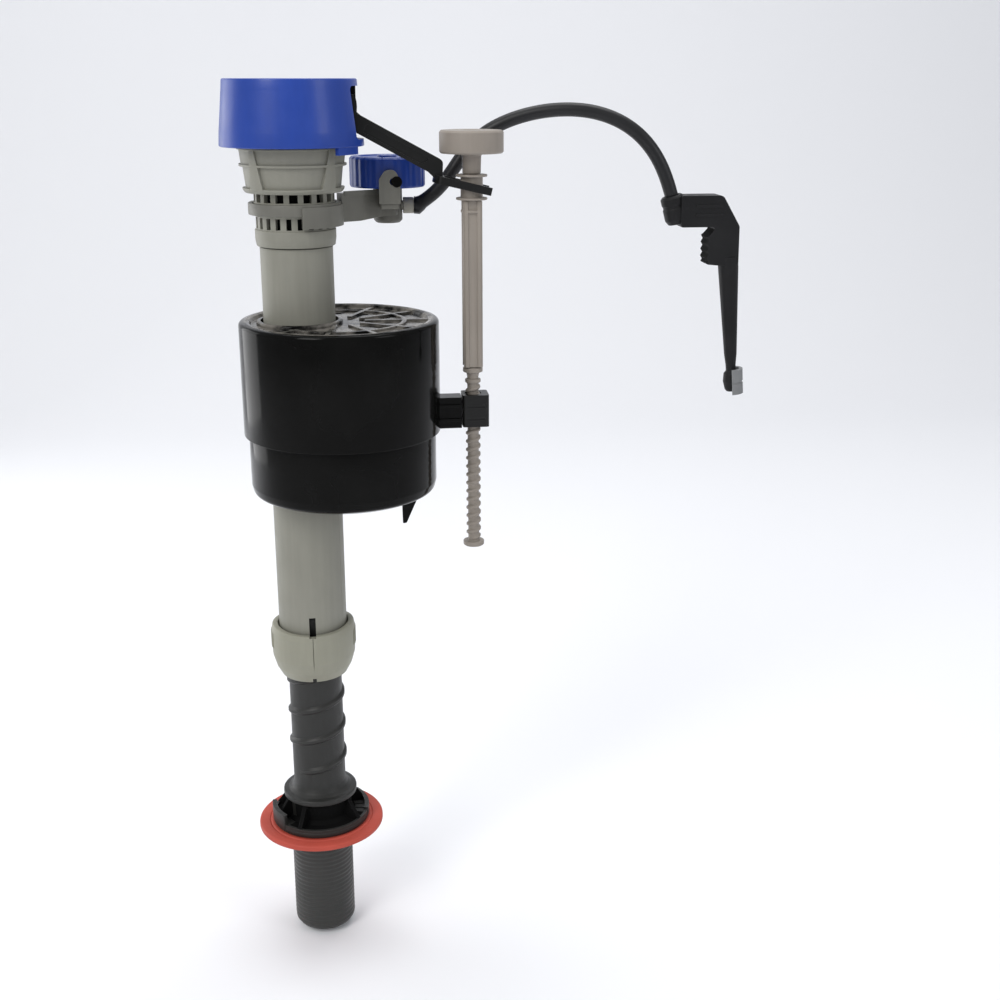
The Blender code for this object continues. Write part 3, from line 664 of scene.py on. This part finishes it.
def head():
    prof = rounded([
        (17.8, 262.4), (17.8, 259.5), (19.0, 259.3), (17.35, 245.4), (16.6, 244.4), (13.8, 244.4),
        (13.8, 241.2), (14.0, 241.1), (14.0, 236.6), (13.5, 236.4), (13.5, 232.1), (14.0, 231.9),
        (14.0, 228.9), (13.6, 226.3), (11.05, 226.3), (11.05, 214.0), (9.6, 214.0), (9.6, 226.5),
        (12.0, 229.0), (12.0, 245.0), (14.8, 248.0), (15.6, 256.5), (7.3, 258.5), (7.3, 262.4)],
        [0.3, 0, 0.4, 0.8, 0.4, 0.1, 0.1, 0.25, 0.25, 0.1, 0.1, 0.4, 0.4, 0.3, 0, 0.2, 0, 0, 0, 0,
         0, 0, 0, 0], 3)
    obj = lathe("valve_head_fine", prof, 144)
    cutter = boxes("w", [
        ((11.3, -1.45, 241.35), (15.2, 1.45, 244.25), math.radians(20 * i + 10)) for i in range(18)
    ] + [((11.3, -0.9, 232.4), (15.2, 0.9, 236.2), math.radians(360 / 22 * i))
         for i in range(22)])
    cut(obj, cutter)
    # four recessed trapezoid panels round the basket, with a step inside each
    bm = bmesh.new()
    for q in range(4):
        mid = -90 + 90 * q
        for lo_z, hi_z, half_lo, half_hi, depth in (
                (246.0, 253.2, 35.0, 39.0, 1.2), (253.9, 258.8, 39.3, 42.0, 0.8)):
            cols = 18
            def wall(off):
                pts = []
                for k in range(cols + 1):
                    row = []
                    for z, half in ((lo_z, half_lo), (hi_z, half_hi)):
                        a = math.radians(mid + half * (2 * k / cols - 1))
                        r = 17.25 + (z - 244.4) * (19.0 - 17.25) / 14.9 + off
                        row.append(bm.verts.new((r * math.cos(a), r * math.sin(a), z)))
                    pts.append(row)
                return pts
            inner_w, outer_w = wall(-depth), wall(2.0)
            for w in (inner_w, outer_w):
                for a, b in zip(w, w[1:]):
                    bm.faces.new((a[0], b[0], b[1], a[1]))
            for k in range(cols):
                bm.faces.new((inner_w[k][0], inner_w[k + 1][0], outer_w[k + 1][0],
                              outer_w[k][0]))
                bm.faces.new((inner_w[k][1], inner_w[k + 1][1], outer_w[k + 1][1],
                              outer_w[k][1]))
            for k in (0, cols):
                bm.faces.new((inner_w[k][0], inner_w[k][1], outer_w[k][1], outer_w[k][0]))
    cut(obj, finish("panels", bm))
    # bayonet lugs that the cap turns under
    bm = bmesh.new()
    for i in range(4):
        out = arc(20.0, 45 + 90 * i - 7, 45 + 90 * i + 7, 5) + \
            arc(17.0, 45 + 90 * i + 7, 45 + 90 * i - 7, 5)
        add_prism(bm, out, 260.2, 262.0, "Z")
    fuse(obj, finish("lugs", bm))
    resharp(obj, 30)
    # dark sleeve behind the windows: painted shade, so the windows look dark inside
    bm = bmesh.new()
    turned(bm, ring(10.9, 11.5, 229.4, 246.0), 96)
    own = join_mesh(obj, finish("painted_shade_sleeve", bm))
    resharp(obj, 30)
    piece(obj, "grey", "riser", "valve_head")
    return second(obj, "painted_shade", own)


# ------------------------------------------------------------------------ cap
def cap():
    prof = rounded([
        (0.0, 281.6), (15.6, 281.6), (15.9, 281.35), (17.3, 281.35), (17.6, 281.6), (22.6, 281.6),
        (22.9, 278.0), (24.3, 264.5), (24.6, 259.6), (23.3, 259.6), (21.7, 270.3), (17.9, 270.3),
        (17.9, 279.4), (0.0, 279.4)],
        [0, 0.15, 0.15, 0.15, 0.15, 0.6, 4, 6, 0.45, 0.3, 0.3, 0.3, 0.5, 0], 5, closed=False)
    obj = lathe("valve_cap_fine", prof, 160, closed=False)
    half = 11.0
    back = 12.8
    cutter = prism("slot", rounded([(261.9, -half), (279.2, -half), (279.2, back), (261.9, back)],
                                   1.6, 4), 12.6, 30.0, "Z")
    # (z, y) outline pushed along X
    for v in cutter.data.vertices:
        a, b, c = v.co
        v.co = (c, b, a)
    bm = bmesh.new()
    bm.from_mesh(cutter.data)
    bmesh.ops.recalc_face_normals(bm, faces=bm.faces[:])
    bm.to_mesh(cutter.data)
    bm.free()
    cut(obj, cutter)
    # latch lug that hangs under the skirt before the lever, and dimples on top
    bm = bmesh.new()
    for a0, a1 in ((-50, -24),):
        out = arc(24.3, a0, a1, 8) + arc(22.6, a1, a0, 8)
        add_prism(bm, out, 257.2, 261.2, "Z")
    fuse(obj, finish("lug", bm))
    bm = bmesh.new()
    for i in range(6):
        turn = math.radians(60 * i + 30)
        add_box(bm, (8.2, -0.9, 281.15), (13.4, 0.9, 282.4), turn)
    cut(obj, finish("dimples", bm))
    resharp(obj, 30)
    # dark pad in the upper corner of the slot, behind the lever: painted shade in the slot
    slot_shade = prism("slot_shade", rounded(arc(22.6, 10.4, 38, 10) + arc(19.6, 38, 12, 10), 0.2, 2),
                273.8, 279.5, "Z")
    own = join_mesh(obj, slot_shade)
    resharp(obj, 30)
    piece(obj, "blue", "riser", "valve_cap")
    return second(obj, "painted_shade", own)


# ----------------------------------------------------------------------- lever
PIVOT = (12.0, 272.5)
SLOPE = math.radians(28.4)


def on_beam(s, h):
    return (PIVOT[0] + s * math.cos(SLOPE) + h * math.sin(SLOPE),
            PIVOT[1] - s * math.sin(SLOPE) + h * math.cos(SLOPE))


def lever():
    hub = [(PIVOT[0] + r * math.cos(math.radians(a)), PIVOT[1] + r * math.sin(math.radians(a)))
           for a, r in ((-10, 10.4), (0, 10.4), (8, 10.4), (15, 10.4), (22, 10.2), (32, 7.6), (44, 6.5),
                        (60, 6.0), (80, 5.2))]
    out = [(2.6, 273.4), (8.0, 273.4), (8.6, 271.8), (9.6, 270.2), (11.2, 269.5),
           on_beam(3.0, -2.9), on_beam(40.4, -2.9), (49.4, 247.6), (50.4, 246.5), (51.2, 246.2),
           (51.2, 251.0), on_beam(43.2, 2.9), on_beam(11.6, 2.9)] + hub + \
          [(2.6, 276.4)]
    radii = [0.4, 0.8, 0.6, 1, 1, 1, 2.5, 1.2, 0.4, 0.3, 1.4, 1.8, 0.6] + [0.4] * 9 + [0.5]
    body = prism("float_lever_fine", rounded(out, radii, 3), -2.9, 2.9)
    # shallow channel on both faces of the beam
    for side in (-1, 1):
        y0, y1 = (-4.0, -2.3) if side < 0 else (2.3, 4.0)
        chan = prism("chan", rounded([on_beam(14.5, -1.6), on_beam(37.0, -1.6),
                                      on_beam(39.6, 1.5), on_beam(14.5, 1.5)], 0.8, 3), y0, y1)
        cut(body, chan)
    tip = Matrix.Translation((61.5, 0, 245.45)) @ Matrix.Rotation(math.radians(13.0), 4, "Y") \
        @ Matrix.Translation((-61.5, 0, 0))
    fork = prism("fork", rounded([
        (49.4, -6.1), (68.2, -6.1), (68.2, -4.3), (52.2, -4.3), (51.3, -3.2), (51.3, 3.2),
        (52.2, 4.3), (68.2, 4.3), (68.2, 6.1), (49.4, 6.1), (47.8, 3.0), (47.8, -3.0)],
        [2.0, 0.8, 0.8, 0.6, 0.6, 0.6, 0.6, 0.8, 0.8, 2.0, 1, 1], 4), -1.35, 1.35, "Z", tip)
    fuse(body, fork)
    cut(body, lathe("bore", rod([(1.5, 9.0), (1.5, -9.0)]), 40,
                    matrix=Matrix.Translation((PIVOT[0], 0, PIVOT[1]))
                    @ Matrix.Rotation(math.pi / 2, 4, "X"), closed=False))
    resharp(body, 30)
    soften(body, 0.28, 2, 40)
    return piece(body, "black", "lever", "float_lever")


# ---------------------------------------------------------- rod, spool, clip
def spool():
    prof = rounded([(5.5, 249.7), (5.5, 248.9), (3.9, 248.9), (3.9, 241.8), (5.5, 241.8),
                    (5.5, 241.0), (2.9, 241.0), (2.9, 249.7)],
                   [0.25, 0.25, 0.2, 0.2, 0.25, 0.25, 0.1, 0.1], 3)
    obj = lathe("fork_spool_fine", prof, 64, centre=(61.5, 0))
    return piece(obj, "beige", "spool", "fork_spool")


def adjusting_rod():
    x = 61.5
    prof = rounded([(0.0, 264.2), (2.6, 264.2), (2.9, 264.6), (10.6, 264.6), (11.2, 263.9),
                    (11.2, 257.4), (10.7, 256.8), (4.4, 256.8), (3.4, 256.0), (3.2, 250.0), (2.6, 250.0),
                    (2.6, 240.2), (2.6, 181.4), (3.6, 181.4), (3.6, 179.8), (2.4, 179.5),
                    (2.05, 177.8), (2.05, 116.2), (2.4, 115.1), (3.9, 115.1), (3.9, 113.6), (3.4, 113.2),
                    (0.0, 113.2)],
                   [0, 0.1, 0.1, 0.25, 0.25, 0.3, 0.3, 0.5, 0.5, 0.2, 0, 0, 0, 0.3, 0.3, 0.2, 0,
                    0, 0, 0.3, 0.3, 0.3, 0], 3, closed=False)
    bm = bmesh.new()
    turned(bm, prof, 72, False, Matrix.Translation((x, 0, 0)))
    body = finish("adjusting_rod_fine", bm)
    h, c, g = 3.4, 0.7, 0.55
    # square bar with a flute down each face
    sec = []
    for q in range(4):
        m = Matrix.Rotation(math.radians(90 * q), 2)
        for p in ((-h + c, -h), (-1.7, -h), (-1.3, -h + g), (1.3, -h + g), (1.7, -h), (h - c, -h),
                  (h, -h + c)):
            v = m @ Vector(p)
            sec.append((x + v.x, v.y))
    fuse(body, prism("bar", rounded(sec, 0.25, 2), 181.9, 240.7, "Z"))
    fuse(body, lathe("top_ring", rounded(ring(1.0, 3.9, 236.6, 237.6), 0.2, 2), 48,
                     centre=(x, 0)))
    fuse(body, lathe("low_ring", rounded(ring(1.0, 2.85, 175.8, 177.2), 0.3, 2), 48,
                     centre=(x, 0)))
    # screw, pitch 3.2
    bm = bmesh.new()
    screw(bm, (x, 0.0), 2.05, 2.72, 3.2, 115.2, 176.2, 0.12, 48, 0.17)
    add_shell(body, bm)
    resharp(body, 30)
    return piece(body, "beige", "rod", "adjusting_rod")


FX, FY = 13.9, -1.5


def float_cup():
    prof = rounded([
        (0.0, 199.0), (30.9, 199.0), (31.6, 200.2), (32.9, 200.5), (35.3, 200.1), (35.3, 180.0),
        (35.3, 159.8), (33.7, 159.8), (33.5, 196.0), (31.3, 197.6), (0.0, 197.6)],
        [0, 0.5, 0.6, 0.8, 2.9, 0, 0.35, 0.2, 2.0, 1.0, 0], 6, closed=False)
    body = lathe("float_upper_fine", prof, 192, closed=False, centre=(FX, FY))
    fuse(body, lathe("sleeve", rounded(rod([(15.2, 200.2), (15.2, 139.0)]), [0, .6, .3, 0], 3,
                                       closed=False), 96, closed=False))
    # radial ribs and a hoop moulded on the lid
    bm = bmesh.new()
    for i in range(9):
        t = math.radians(-132 + 33 * i)
        m = Matrix.Translation((FX, FY, 0)) @ Matrix.Rotation(t, 4, "Z")
        add_box(bm, (9.0, -0.8, 198.0), (31.3, 0.8, 199.7), 0.0, m)
    lid = finish("ribs", bm)
    fuse(body, lid)
    fuse(body, lathe("hoop", rounded(ring(22.2, 23.9, 198.0, 199.7), 0.2, 2), 128,
                     centre=(FX, FY)))
    # vents through the lid
    bm = bmesh.new()
    for ang, r, a, b in ((8, 27.5, 2.6, 1.6), (41, 27.2, 1.7, 1.2), (-25, 27.6, 2.0, 1.3),
                         (74, 27.4, 2.6, 1.5), (-58, 27.2, 1.6, 1.2), (24, 17.8, 2.0, 1.5),
                         (-9, 17.6, 1.4, 1.4), (58, 17.8, 1.6, 1.3), (-42, 17.6, 1.9, 1.3),
                         (107, 27.0, 1.8, 1.3), (-91, 27.3, 2.4, 1.5), (91, 18.6, 1.5, 1.2)):
        t = math.radians(ang)
        m = Matrix.Translation((FX, FY, 0)) @ Matrix.Rotation(t, 4, "Z") \
            @ Matrix.Translation((r, 0, 0))
        add_prism(bm, [(a * math.cos(u), b * math.sin(u)) for u in
                       [2 * math.pi * k / 20 for k in range(20)]], 196.0, 202.0, "Z", m)
    cut(body, finish("vents", bm))
    # bracket to the rod clip, with a web above and below
    br = prism("bracket", rounded([(47.6, -3.8), (51.0, -3.6), (57.1, -3.6), (57.1, 3.6),
                                   (51.0, 3.6), (47.6, 3.8)], 0.4, 2), 159.6, 171.0, "Z")
    fuse(body, br)
    fuse(body, boxes("webs", [((47.6, -4.5, 162.2), (57.1, 4.5, 163.2)),
                              ((47.6, -4.5, 167.4), (57.1, 4.5, 168.4))]))
    cut(body, lathe("passage", rounded(rod([(13.7, 205.0), (13.7, 133.0)]), 0, 1, closed=False),
                    128, closed=False))
    resharp(body, 30)
    piece(body, "gloss", "float", "float_upper")

    prof = rounded([
        (0.0, 138.8), (27.0, 138.8), (30.6, 141.4), (31.2, 148.0), (31.2, 163.4), (33.2, 163.4),
        (33.2, 159.5), (33.6, 159.5), (33.6, 152.0), (33.6, 141.6), (32.9, 138.5), (29.4, 136.9),
        (18.0, 136.9), (0.0, 136.9)],
        [0, 3, 3, 2, 0.3, 0.3, 0.05, 0.25, 0, 2.4, 2.4, 3.4, 1, 0], 6, closed=False)
    low = lathe("float_lower_fine", prof, 192, closed=False, centre=(FX, FY))
    fin = prism("fin", rounded([(34.5, 138.2), (42.4, 138.8), (40.2, 132.6), (36.2, 123.6),
                                (34.8, 123.4)], [0, 0, 1.0, 0.6, 0.3], 3), FY - 1.0, FY + 1.0)
    fuse(low, fin)
    cut(low, lathe("hole", rod([(15.5, 166.0), (15.5, 133.0)]), 96, closed=False))
    resharp(low, 30)
    piece(low, "gloss", "float", "float_lower")


def rod_clip():
    x = 61.5
    body = prism("rod_clip_fine", rounded([(57.4, -4.7), (67.0, -4.7), (67.0, 4.7), (57.4, 4.7)],
                                          1.0, 4), 160.0, 171.8, "Z")
    cut(body, lathe("b", rod([(3.1, 176.0), (3.1, 153.0)]), 64, closed=False, centre=(x, 0)))
    cut(body, prism("w", rounded([(62.7, 162.2), (70.0, 162.2), (70.0, 168.4), (62.7, 168.4)],
                                 0.3, 2), -2.8, 2.8, "Y"))
    # two shallow finger grooves on the front and back
    bm = bmesh.new()
    for z in (162.6, 167.2):
        for y0, y1 in ((-5.2, -4.4), (4.4, 5.2)):
            add_box(bm, (58.8, y0, z), (65.6, y1, z + 0.8))
    cut(body, finish("grooves", bm))
    resharp(body, 30)
    soften(body, 0.18, 2, 40)
    return piece(body, "black", "float", "rod_clip")


# ----------------------------------------------------------------- refill side
DX, DY = 33.0, 20.0


def refill_housing():
    prof = rounded([(5.2, 244.1), (5.2, 232.6), (4.2, 231.6), (2.2, 231.6), (2.2, 244.1)],
                   [0.3, 0.6, 0.5, 0.3, 0.2], 3)
    body = lathe("refill_housing_fine", prof, 64, centre=(DX, DY))
    band = prism("band", arc(16.7, -80, 80, 48) + arc(14.3, 80, -80, 48), 233.1, 240.1, "Z")
    fuse(body, band)
    fuse(body, lathe("clamp", rounded(ring(14.3, 15.9, 237.0, 241.0), 0.3, 2), 128))
    arm = prism("arm", rounded([(14.6, 7.6), (16.2, 3.6), (30.0, 12.2), (35.6, 12.2), (36.4, 16.6),
                                (29.6, 19.4)], [0, 0, 2.5, 1.6, 1.0, 0], 4), 233.4, 243.2, "Z")
    # the arm's underside rises to the boss
    wedge = prism("wedge", [(20.0, 230.0), (44.0, 230.0), (44.0, 235.2), (32.0, 234.6),
                            (22.0, 233.3)], -4.0, 24.0, "Y")
    cut(arm, wedge)
    fuse(body, arm)
    # raised flange along the arm's top edge
    lip = prism("lip", rounded([(17.2, 3.9), (29.8, 11.6), (35.8, 11.6), (35.8, 12.8),
                                (29.4, 12.8), (16.8, 5.2)], 0.4, 2), 242.2, 243.9, "Z")
    fuse(body, lip)
    shelf = prism("shelf", rounded([(29.8, 4.9), (36.4, 4.9), (36.4, 17.0), (29.8, 17.0)],
                                   [0.8, 0.8, 0, 0], 3), 237.6, 243.0, "Z")
    fuse(body, shelf)
    post = prism("post", rounded([(29.4, 239.4), (36.8, 239.4), (36.8, 247.4), (35.2, 251.0),
                                  (31.6, 251.0), (29.4, 247.8)], [0.2, 0.2, 2.4, 2.2, 2.6, 1.6], 4),
                 4.1, 6.1, "Y")
    fuse(body, post)
    eye = lathe("eye", rod([(1.3, 6.0), (1.3, -6.0)]), 32, closed=False,
                matrix=Matrix.Translation((34.4, 5.2, 247.0)) @ Matrix.Rotation(math.pi / 2, 4,
                                                                               "X"))
    cut(body, eye)
    port = lathe("port", rod([(2.1, 20.0), (2.1, 0.0)]), 32, closed=False,
                 matrix=Matrix.Translation((DX + 2.6, DY, 237.6))
                 @ Matrix.Rotation(math.pi / 2, 4, "Y"))
    cut(body, port)
    resharp(body, 30)
    soften(body, 0.3, 2, 40)
    # dark disc over the post's hole: painted shade in the hole
    hole_shade = lathe("hole_shade", rounded(rod([(1.9, 1.4), (1.9, -0.4)]), 0.3, 2, closed=False), 40,
                closed=False, matrix=Matrix.Translation((35.6, 5.0, 247.0))
                @ Matrix.Rotation(math.pi / 2, 4, "X"))
    own = join_mesh(body, hole_shade)
    resharp(body, 30)
    piece(body, "arm", "riser", "refill_housing")
    return second(body, "painted_shade", own)


def refill_dial():
    def knurl(a, r, z):
        if r > 12.0 and z > 245.0:
            r -= 0.22 * (0.5 + 0.5 * math.cos(28 * a))
        return r, z
    prof = rounded([(0.0, 255.4), (3.4, 255.4), (3.6, 254.6), (10.0, 254.6), (10.4, 255.1),
                    (12.8, 255.1), (13.6, 254.3), (13.6, 246.0), (13.6, 245.1), (13.2, 244.4),
                    (12.0, 244.4), (1.8, 244.4), (1.8, 235.0), (1.0, 234.0), (0.0, 234.0)],
                   [0, 0.4, 0.1, 0.2, 0.2, 0.3, 0.4, 0, 0.2, 0.2, 0, 0, 0, 0, 0], 3, closed=False)
    body = lathe("refill_dial_fine", prof, 336, closed=False, centre=(DX, DY), around=knurl)
    # generic pointer and scale notches on top
    bm = bmesh.new()
    m = Matrix.Translation((DX, DY, 0))
    add_box(bm, (4.4, -0.5, 253.6), (9.6, 0.5, 255.2), math.radians(-70), m)
    for k in range(7):
        add_box(bm, (11.2, -0.22, 254.7), (13.0, 0.22, 256.0), math.radians(-160 + 30 * k), m)
    helper = finish("marks", bm)
    cut(body, helper)
    resharp(body, 30)
    return piece(body, "blue", "dial", "refill_dial")


def nipple():
    m = Matrix.Translation((DX + 5.5, DY, 237.6)) @ Matrix.Rotation(math.pi / 2, 4, "Y")
    prof = rounded([(1.75, 7.4), (2.05, 6.4), (1.75, 5.4), (2.05, 4.8), (1.9, 3.8), (2.9, 3.8),
                    (2.9, 0.0), (1.75, 0.0), (1.75, -1.6), (1.0, -1.6), (1.0, 7.4)],
                   [0.1] * 5 + [0.35] + [0.1] * 5, 3)
    obj = lathe("refill_nipple_fine", prof, 48, matrix=m)
    return piece(obj, "pale", "riser", "refill_nipple")


# ----------------------------------------------------------------- refill tube
ROUTE = [
    (45.6, 20.0, 237.7), (50.4, 20.3, 240.4), (54.8, 20.5, 246.0),
    (58.6, 20.2, 253.4), (63.8, 19.6, 260.0), (70.4, 18.6, 264.8),
    (82.4, 16.5, 269.4), (96.5, 13.6, 271.4), (110.5, 10.6, 269.8),
    (122.9, 8.0, 263.1), (130.5, 6.7, 253.2), (133.2, 6.2, 246.6),
    (134.9, 6.0, 240.3),
]
HOSE_R = 2.45


def route(points, step):
    pts = [Vector(p) for p in points]
    pts = [pts[0] * 2 - pts[1]] + pts + [pts[-1] * 2 - pts[-2]]
    fine = []
    for a, b, c, d in zip(pts, pts[1:], pts[2:], pts[3:]):
        for i in range(24):
            t = i / 24.0
            fine.append(0.5 * (2 * b + (c - a) * t + (2 * a - 5 * b + 4 * c - d) * t * t
                               + (3 * b - a - 3 * c + d) * t ** 3))
    fine.append(pts[-2])
    run = [0.0]
    for p, q in zip(fine, fine[1:]):
        run.append(run[-1] + (q - p).length)
    count = max(2, round(run[-1] / step))
    out, k = [], 0
    for i in range(count + 1):
        want = run[-1] * i / count
        while k < len(run) - 2 and run[k + 1] < want:
            k += 1
        part = (want - run[k]) / (run[k + 1] - run[k])
        out.append(fine[k].lerp(fine[k + 1], part))
    return out, run[-1]


def refill_tube():
    """A hollow tube that is pushed over the nipple and into the adapter's inlet."""
    start = [(42.4, 20.0, 237.6), (44.4, 20.0, 237.8), (49.8, 20.3, 240.4)]
    points, length = route(start + ROUTE[2:], 1.2)
    for _ in range(70):
        points = points[:2] + [a * 0.25 + b * 0.5 + c * 0.25 for a, b, c in
                               zip(points[1:], points[2:], points[3:])] + points[-1:]
    length = sum((q - p).length for p, q in zip(points, points[1:]))
    bm = bmesh.new()
    sides = 40
    tangent = (points[1] - points[0]).normalized()
    side = Vector((0, 1, 0))
    side = (side - tangent * side.dot(tangent)).normalized()
    outer, inner = [], []
    total = len(points) - 1
    for i, p in enumerate(points):
        t = (points[min(i + 1, total)] - points[max(i - 1, 0)]).normalized()
        side = (side - t * side.dot(t)).normalized()
        other = t.cross(side)
        s = i * length / total
        # swells where it is pushed over the nipple
        swell = 0.9 * max(0.0, 1.0 - max(0.0, s - 1.4) / 2.6) ** 1.5
        r = HOSE_R + swell
        if i in (0, total):
            r -= 0.3
        ri = 2.08 if s < 6 else 1.7
        outer.append([bm.verts.new(p + (side * math.cos(a) + other * math.sin(a)) * r)
                      for a in (2 * math.pi * k / sides for k in range(sides))])
        inner.append([bm.verts.new(p + (side * math.cos(a) + other * math.sin(a)) * ri)
                      for a in (2 * math.pi * k / sides for k in range(sides))])
    for wall in (outer, inner):
        for a, b in zip(wall, wall[1:]):
            for k in range(sides):
                j = (k + 1) % sides
                bm.faces.new((a[k], a[j], b[j], b[k]))
    for e in (0, -1):
        for k in range(sides):
            j = (k + 1) % sides
            bm.faces.new((outer[e][k], outer[e][j], inner[e][j], inner[e][k]))
    obj = finish("refill_tube_fine", bm, 40)
    return obj, points, length


def adapter():
    y0, y1 = 6.0 - 4.6, 6.0 + 4.6
    teeth = []
    z = 226.6
    for k in range(4):
        teeth += [(147.4, z), (148.1, z - 1.2)]
        z -= 2.5
    out = [(137.4, 241.4), (137.4, 230.2), (150.0, 230.2), (149.7, 228.8), (148.2, 227.2)] + \
        teeth + [(147.4, 216.8), (153.4, 216.2), (159.4, 216.6), (159.2, 230.4), (152.7, 241.4)]
    radii = [0.8, 0.8, 0.6, 0.5, 0.3] + [0.2] * len(teeth) + [0.6, 0.8, 1.0, 1.6, 2.2]
    body = prism("overflow_adapter_fine", rounded(out, radii, 4), y0, y1)
    lean = Matrix.Translation(ROUTE[-1]) @ Matrix.Rotation(math.radians(-15.0), 4, "Y")
    inlet = lathe("inlet", rounded(rod([(3.5, 0.9), (4.3, 0.1), (4.3, -2.2), (4.0, -2.6),
                                        (4.0, -3.4), (4.3, -3.8), (4.3, -7.6), (3.4, -9.3)]),
                                   [0, .3, .3, .2, .2, .2, .2, .5, .4, 0], 3, closed=False), 64,
                  closed=False, matrix=lean)
    fuse(body, inlet)
    lean_out = Matrix.Translation((156.4, 4.6, 218.0)) @ Matrix.Rotation(
        math.radians(-4.4), 4, "Y") @ Matrix.Translation((0, 0, -218.0))
    spout = lathe("spout", rounded(rod([
        (3.75, 219.0), (3.7, 214.8), (2.35, 183.0), (1.9, 178.9), (1.8, 176.6), (2.7, 175.6), (3.05, 172.6),
        (2.5, 169.6), (1.9, 168.7)]), [0, 0, 1, 2, 1, .5, .8, 1, .8, .3, 0], 4, closed=False), 64,
                  closed=False, matrix=lean_out)
    fuse(body, spout)
    cut(body, lathe("sb", rod([(1.2, 234.0), (1.2, 164.0)]), 32, closed=False,
                    matrix=lean_out))
    cut(body, lathe("ib", rounded(rod([(2.75, 3.0), (2.75, -0.6), (2.0, -0.7), (2.0, -8.0)]), 0, 1,
                                  closed=False), 40, closed=False, matrix=lean))
    # side ribs and the part line on the broad faces
    bm = bmesh.new()
    for y in (y0 - 0.35, y1 - 0.35):
        add_box(bm, (143.0, y, 234.0), (152.6, y + 0.7, 235.0))
        add_box(bm, (143.0, y, 237.2), (152.6, y + 0.7, 238.2))
    fuse(body, finish("side", bm))
    resharp(body, 30)
    soften(body, 0.3, 2, 40)
    piece(body, "adapter", "riser", "overflow_adapter")
    # the teeth's faces turned towards the riser are near-black: painted shade in the grooves between the
    # teeth
    second(body, "painted_shade", 0, lambda at, n: 146.9 < at.x < 150.2 and 216.4 < at.z < 229.6
           and n.x < -0.25)
    tip = prism("spout_tip_fine", rounded(
        arc(4.4, -100, 100, 28) + arc(3.2, 100, -100, 28), 0.15, 2), 167.9, 177.3, "Z",
        lean_out)
    groove = lathe("g", rounded(ring(4.05, 6.0, 171.8, 172.8), 0.2, 2), 64, matrix=lean_out)
    cut(tip, groove)
    resharp(tip, 30)
    soften(tip, 0.3, 2, 40)
    piece(tip, "tip", "riser", "spout_tip")
    return body, tip


# ------------------------------------------------------------------- assemble
shank()
washer()
riser()
collar()
head()
cap()
lever()
spool()
adjusting_rod()
float_cup()
rod_clip()
refill_housing()
refill_dial()
nipple()
hose, hose_path, hose_length = refill_tube()
adapter_obj, tip_obj = adapter()
piece(hose, "rubber", "riser", "refill_tube")

for node, mat in (("inlet_tube", "pale"), ("inlet_seal_lower", "rubber"),
                  ("inlet_seal_upper", "rubber"), ("valve_seat", "pale"),
                  ("diaphragm", "rubber"), ("pivot_plate", "grey"), ("lever_pin", "steel"),
                  ("pilot_plunger", "pale")):
    dress(node, mat)


# -------------------------------------------------------- floor, light, world
def stage_material(name, colour, rough):
    mat = bpy.data.materials.new(name)
    mat.use_nodes = True
    shader = mat.node_tree.nodes["Principled BSDF"]
    shader.inputs["Base Color"].default_value = colour
    shader.inputs["Roughness"].default_value = rough
    shader.inputs["Specular IOR Level"].default_value = 0.1
    return mat


def backdrop():
    """Pale floor that curves up into a wall behind the object."""
    bm = bmesh.new()
    floor_z, back, radius = -46.0, 1300.0, 500.0
    line = [(-3000.0, floor_z), (back - radius, floor_z)]
    for k in range(1, 17):
        a = math.pi / 2 * k / 16
        line.append((back - radius + radius * math.sin(a),
                     floor_z + radius - radius * math.cos(a)))
    line.append((back, 3600.0))
    left = [bm.verts.new((-3600.0, y, z)) for y, z in line]
    right = [bm.verts.new((3600.0, y, z)) for y, z in line]
    for i in range(len(line) - 1):
        bm.faces.new((left[i], right[i], right[i + 1], left[i + 1]))
    obj = finish("backdrop", bm, 60)
    obj.data.materials.append(stage_material("backdrop_pale", (0.85, 0.855, 0.875, 1), 0.9))


def area(name, where, target, size, power, colour=(1, 1, 1)):
    data = bpy.data.lights.new(name, "AREA")
    data.shape = "RECTANGLE"
    data.size, data.size_y = size
    data.energy = power
    data.color = colour
    obj = bpy.data.objects.new(name, data)
    COLL.objects.link(obj)
    obj.location = where
    obj.rotation_mode = "QUATERNION"
    obj.rotation_quaternion = (Vector(target) - Vector(where)).to_track_quat("-Z", "Y")
    return obj


backdrop()
area("key", (-0.75, -0.95, 1.05), (0.03, 0, 0.15), (0.55, 0.9), 10.8, (1.0, 0.99, 0.97))
area("fill", (1.1, -0.8, 0.75), (0.03, 0, 0.15), (0.5, 0.7), 3.2, (0.97, 0.98, 1.0))
area("side", (-0.62, 0.42, 0.16), (0.0, 0, 0.16), (0.5, 0.8), 2.6)
area("top", (0.1, 0.3, 1.35), (0.05, 0, 0.2), (1.2, 0.8), 10.0)
world = bpy.data.worlds.new("studio")
bpy.context.scene.world = world
world.use_nodes = True
world.node_tree.nodes["Background"].inputs["Color"].default_value = (0.86, 0.88, 0.92, 1)
world.node_tree.nodes["Background"].inputs["Strength"].default_value = 0.52
bpy.context.scene.view_settings.view_transform = "Standard"
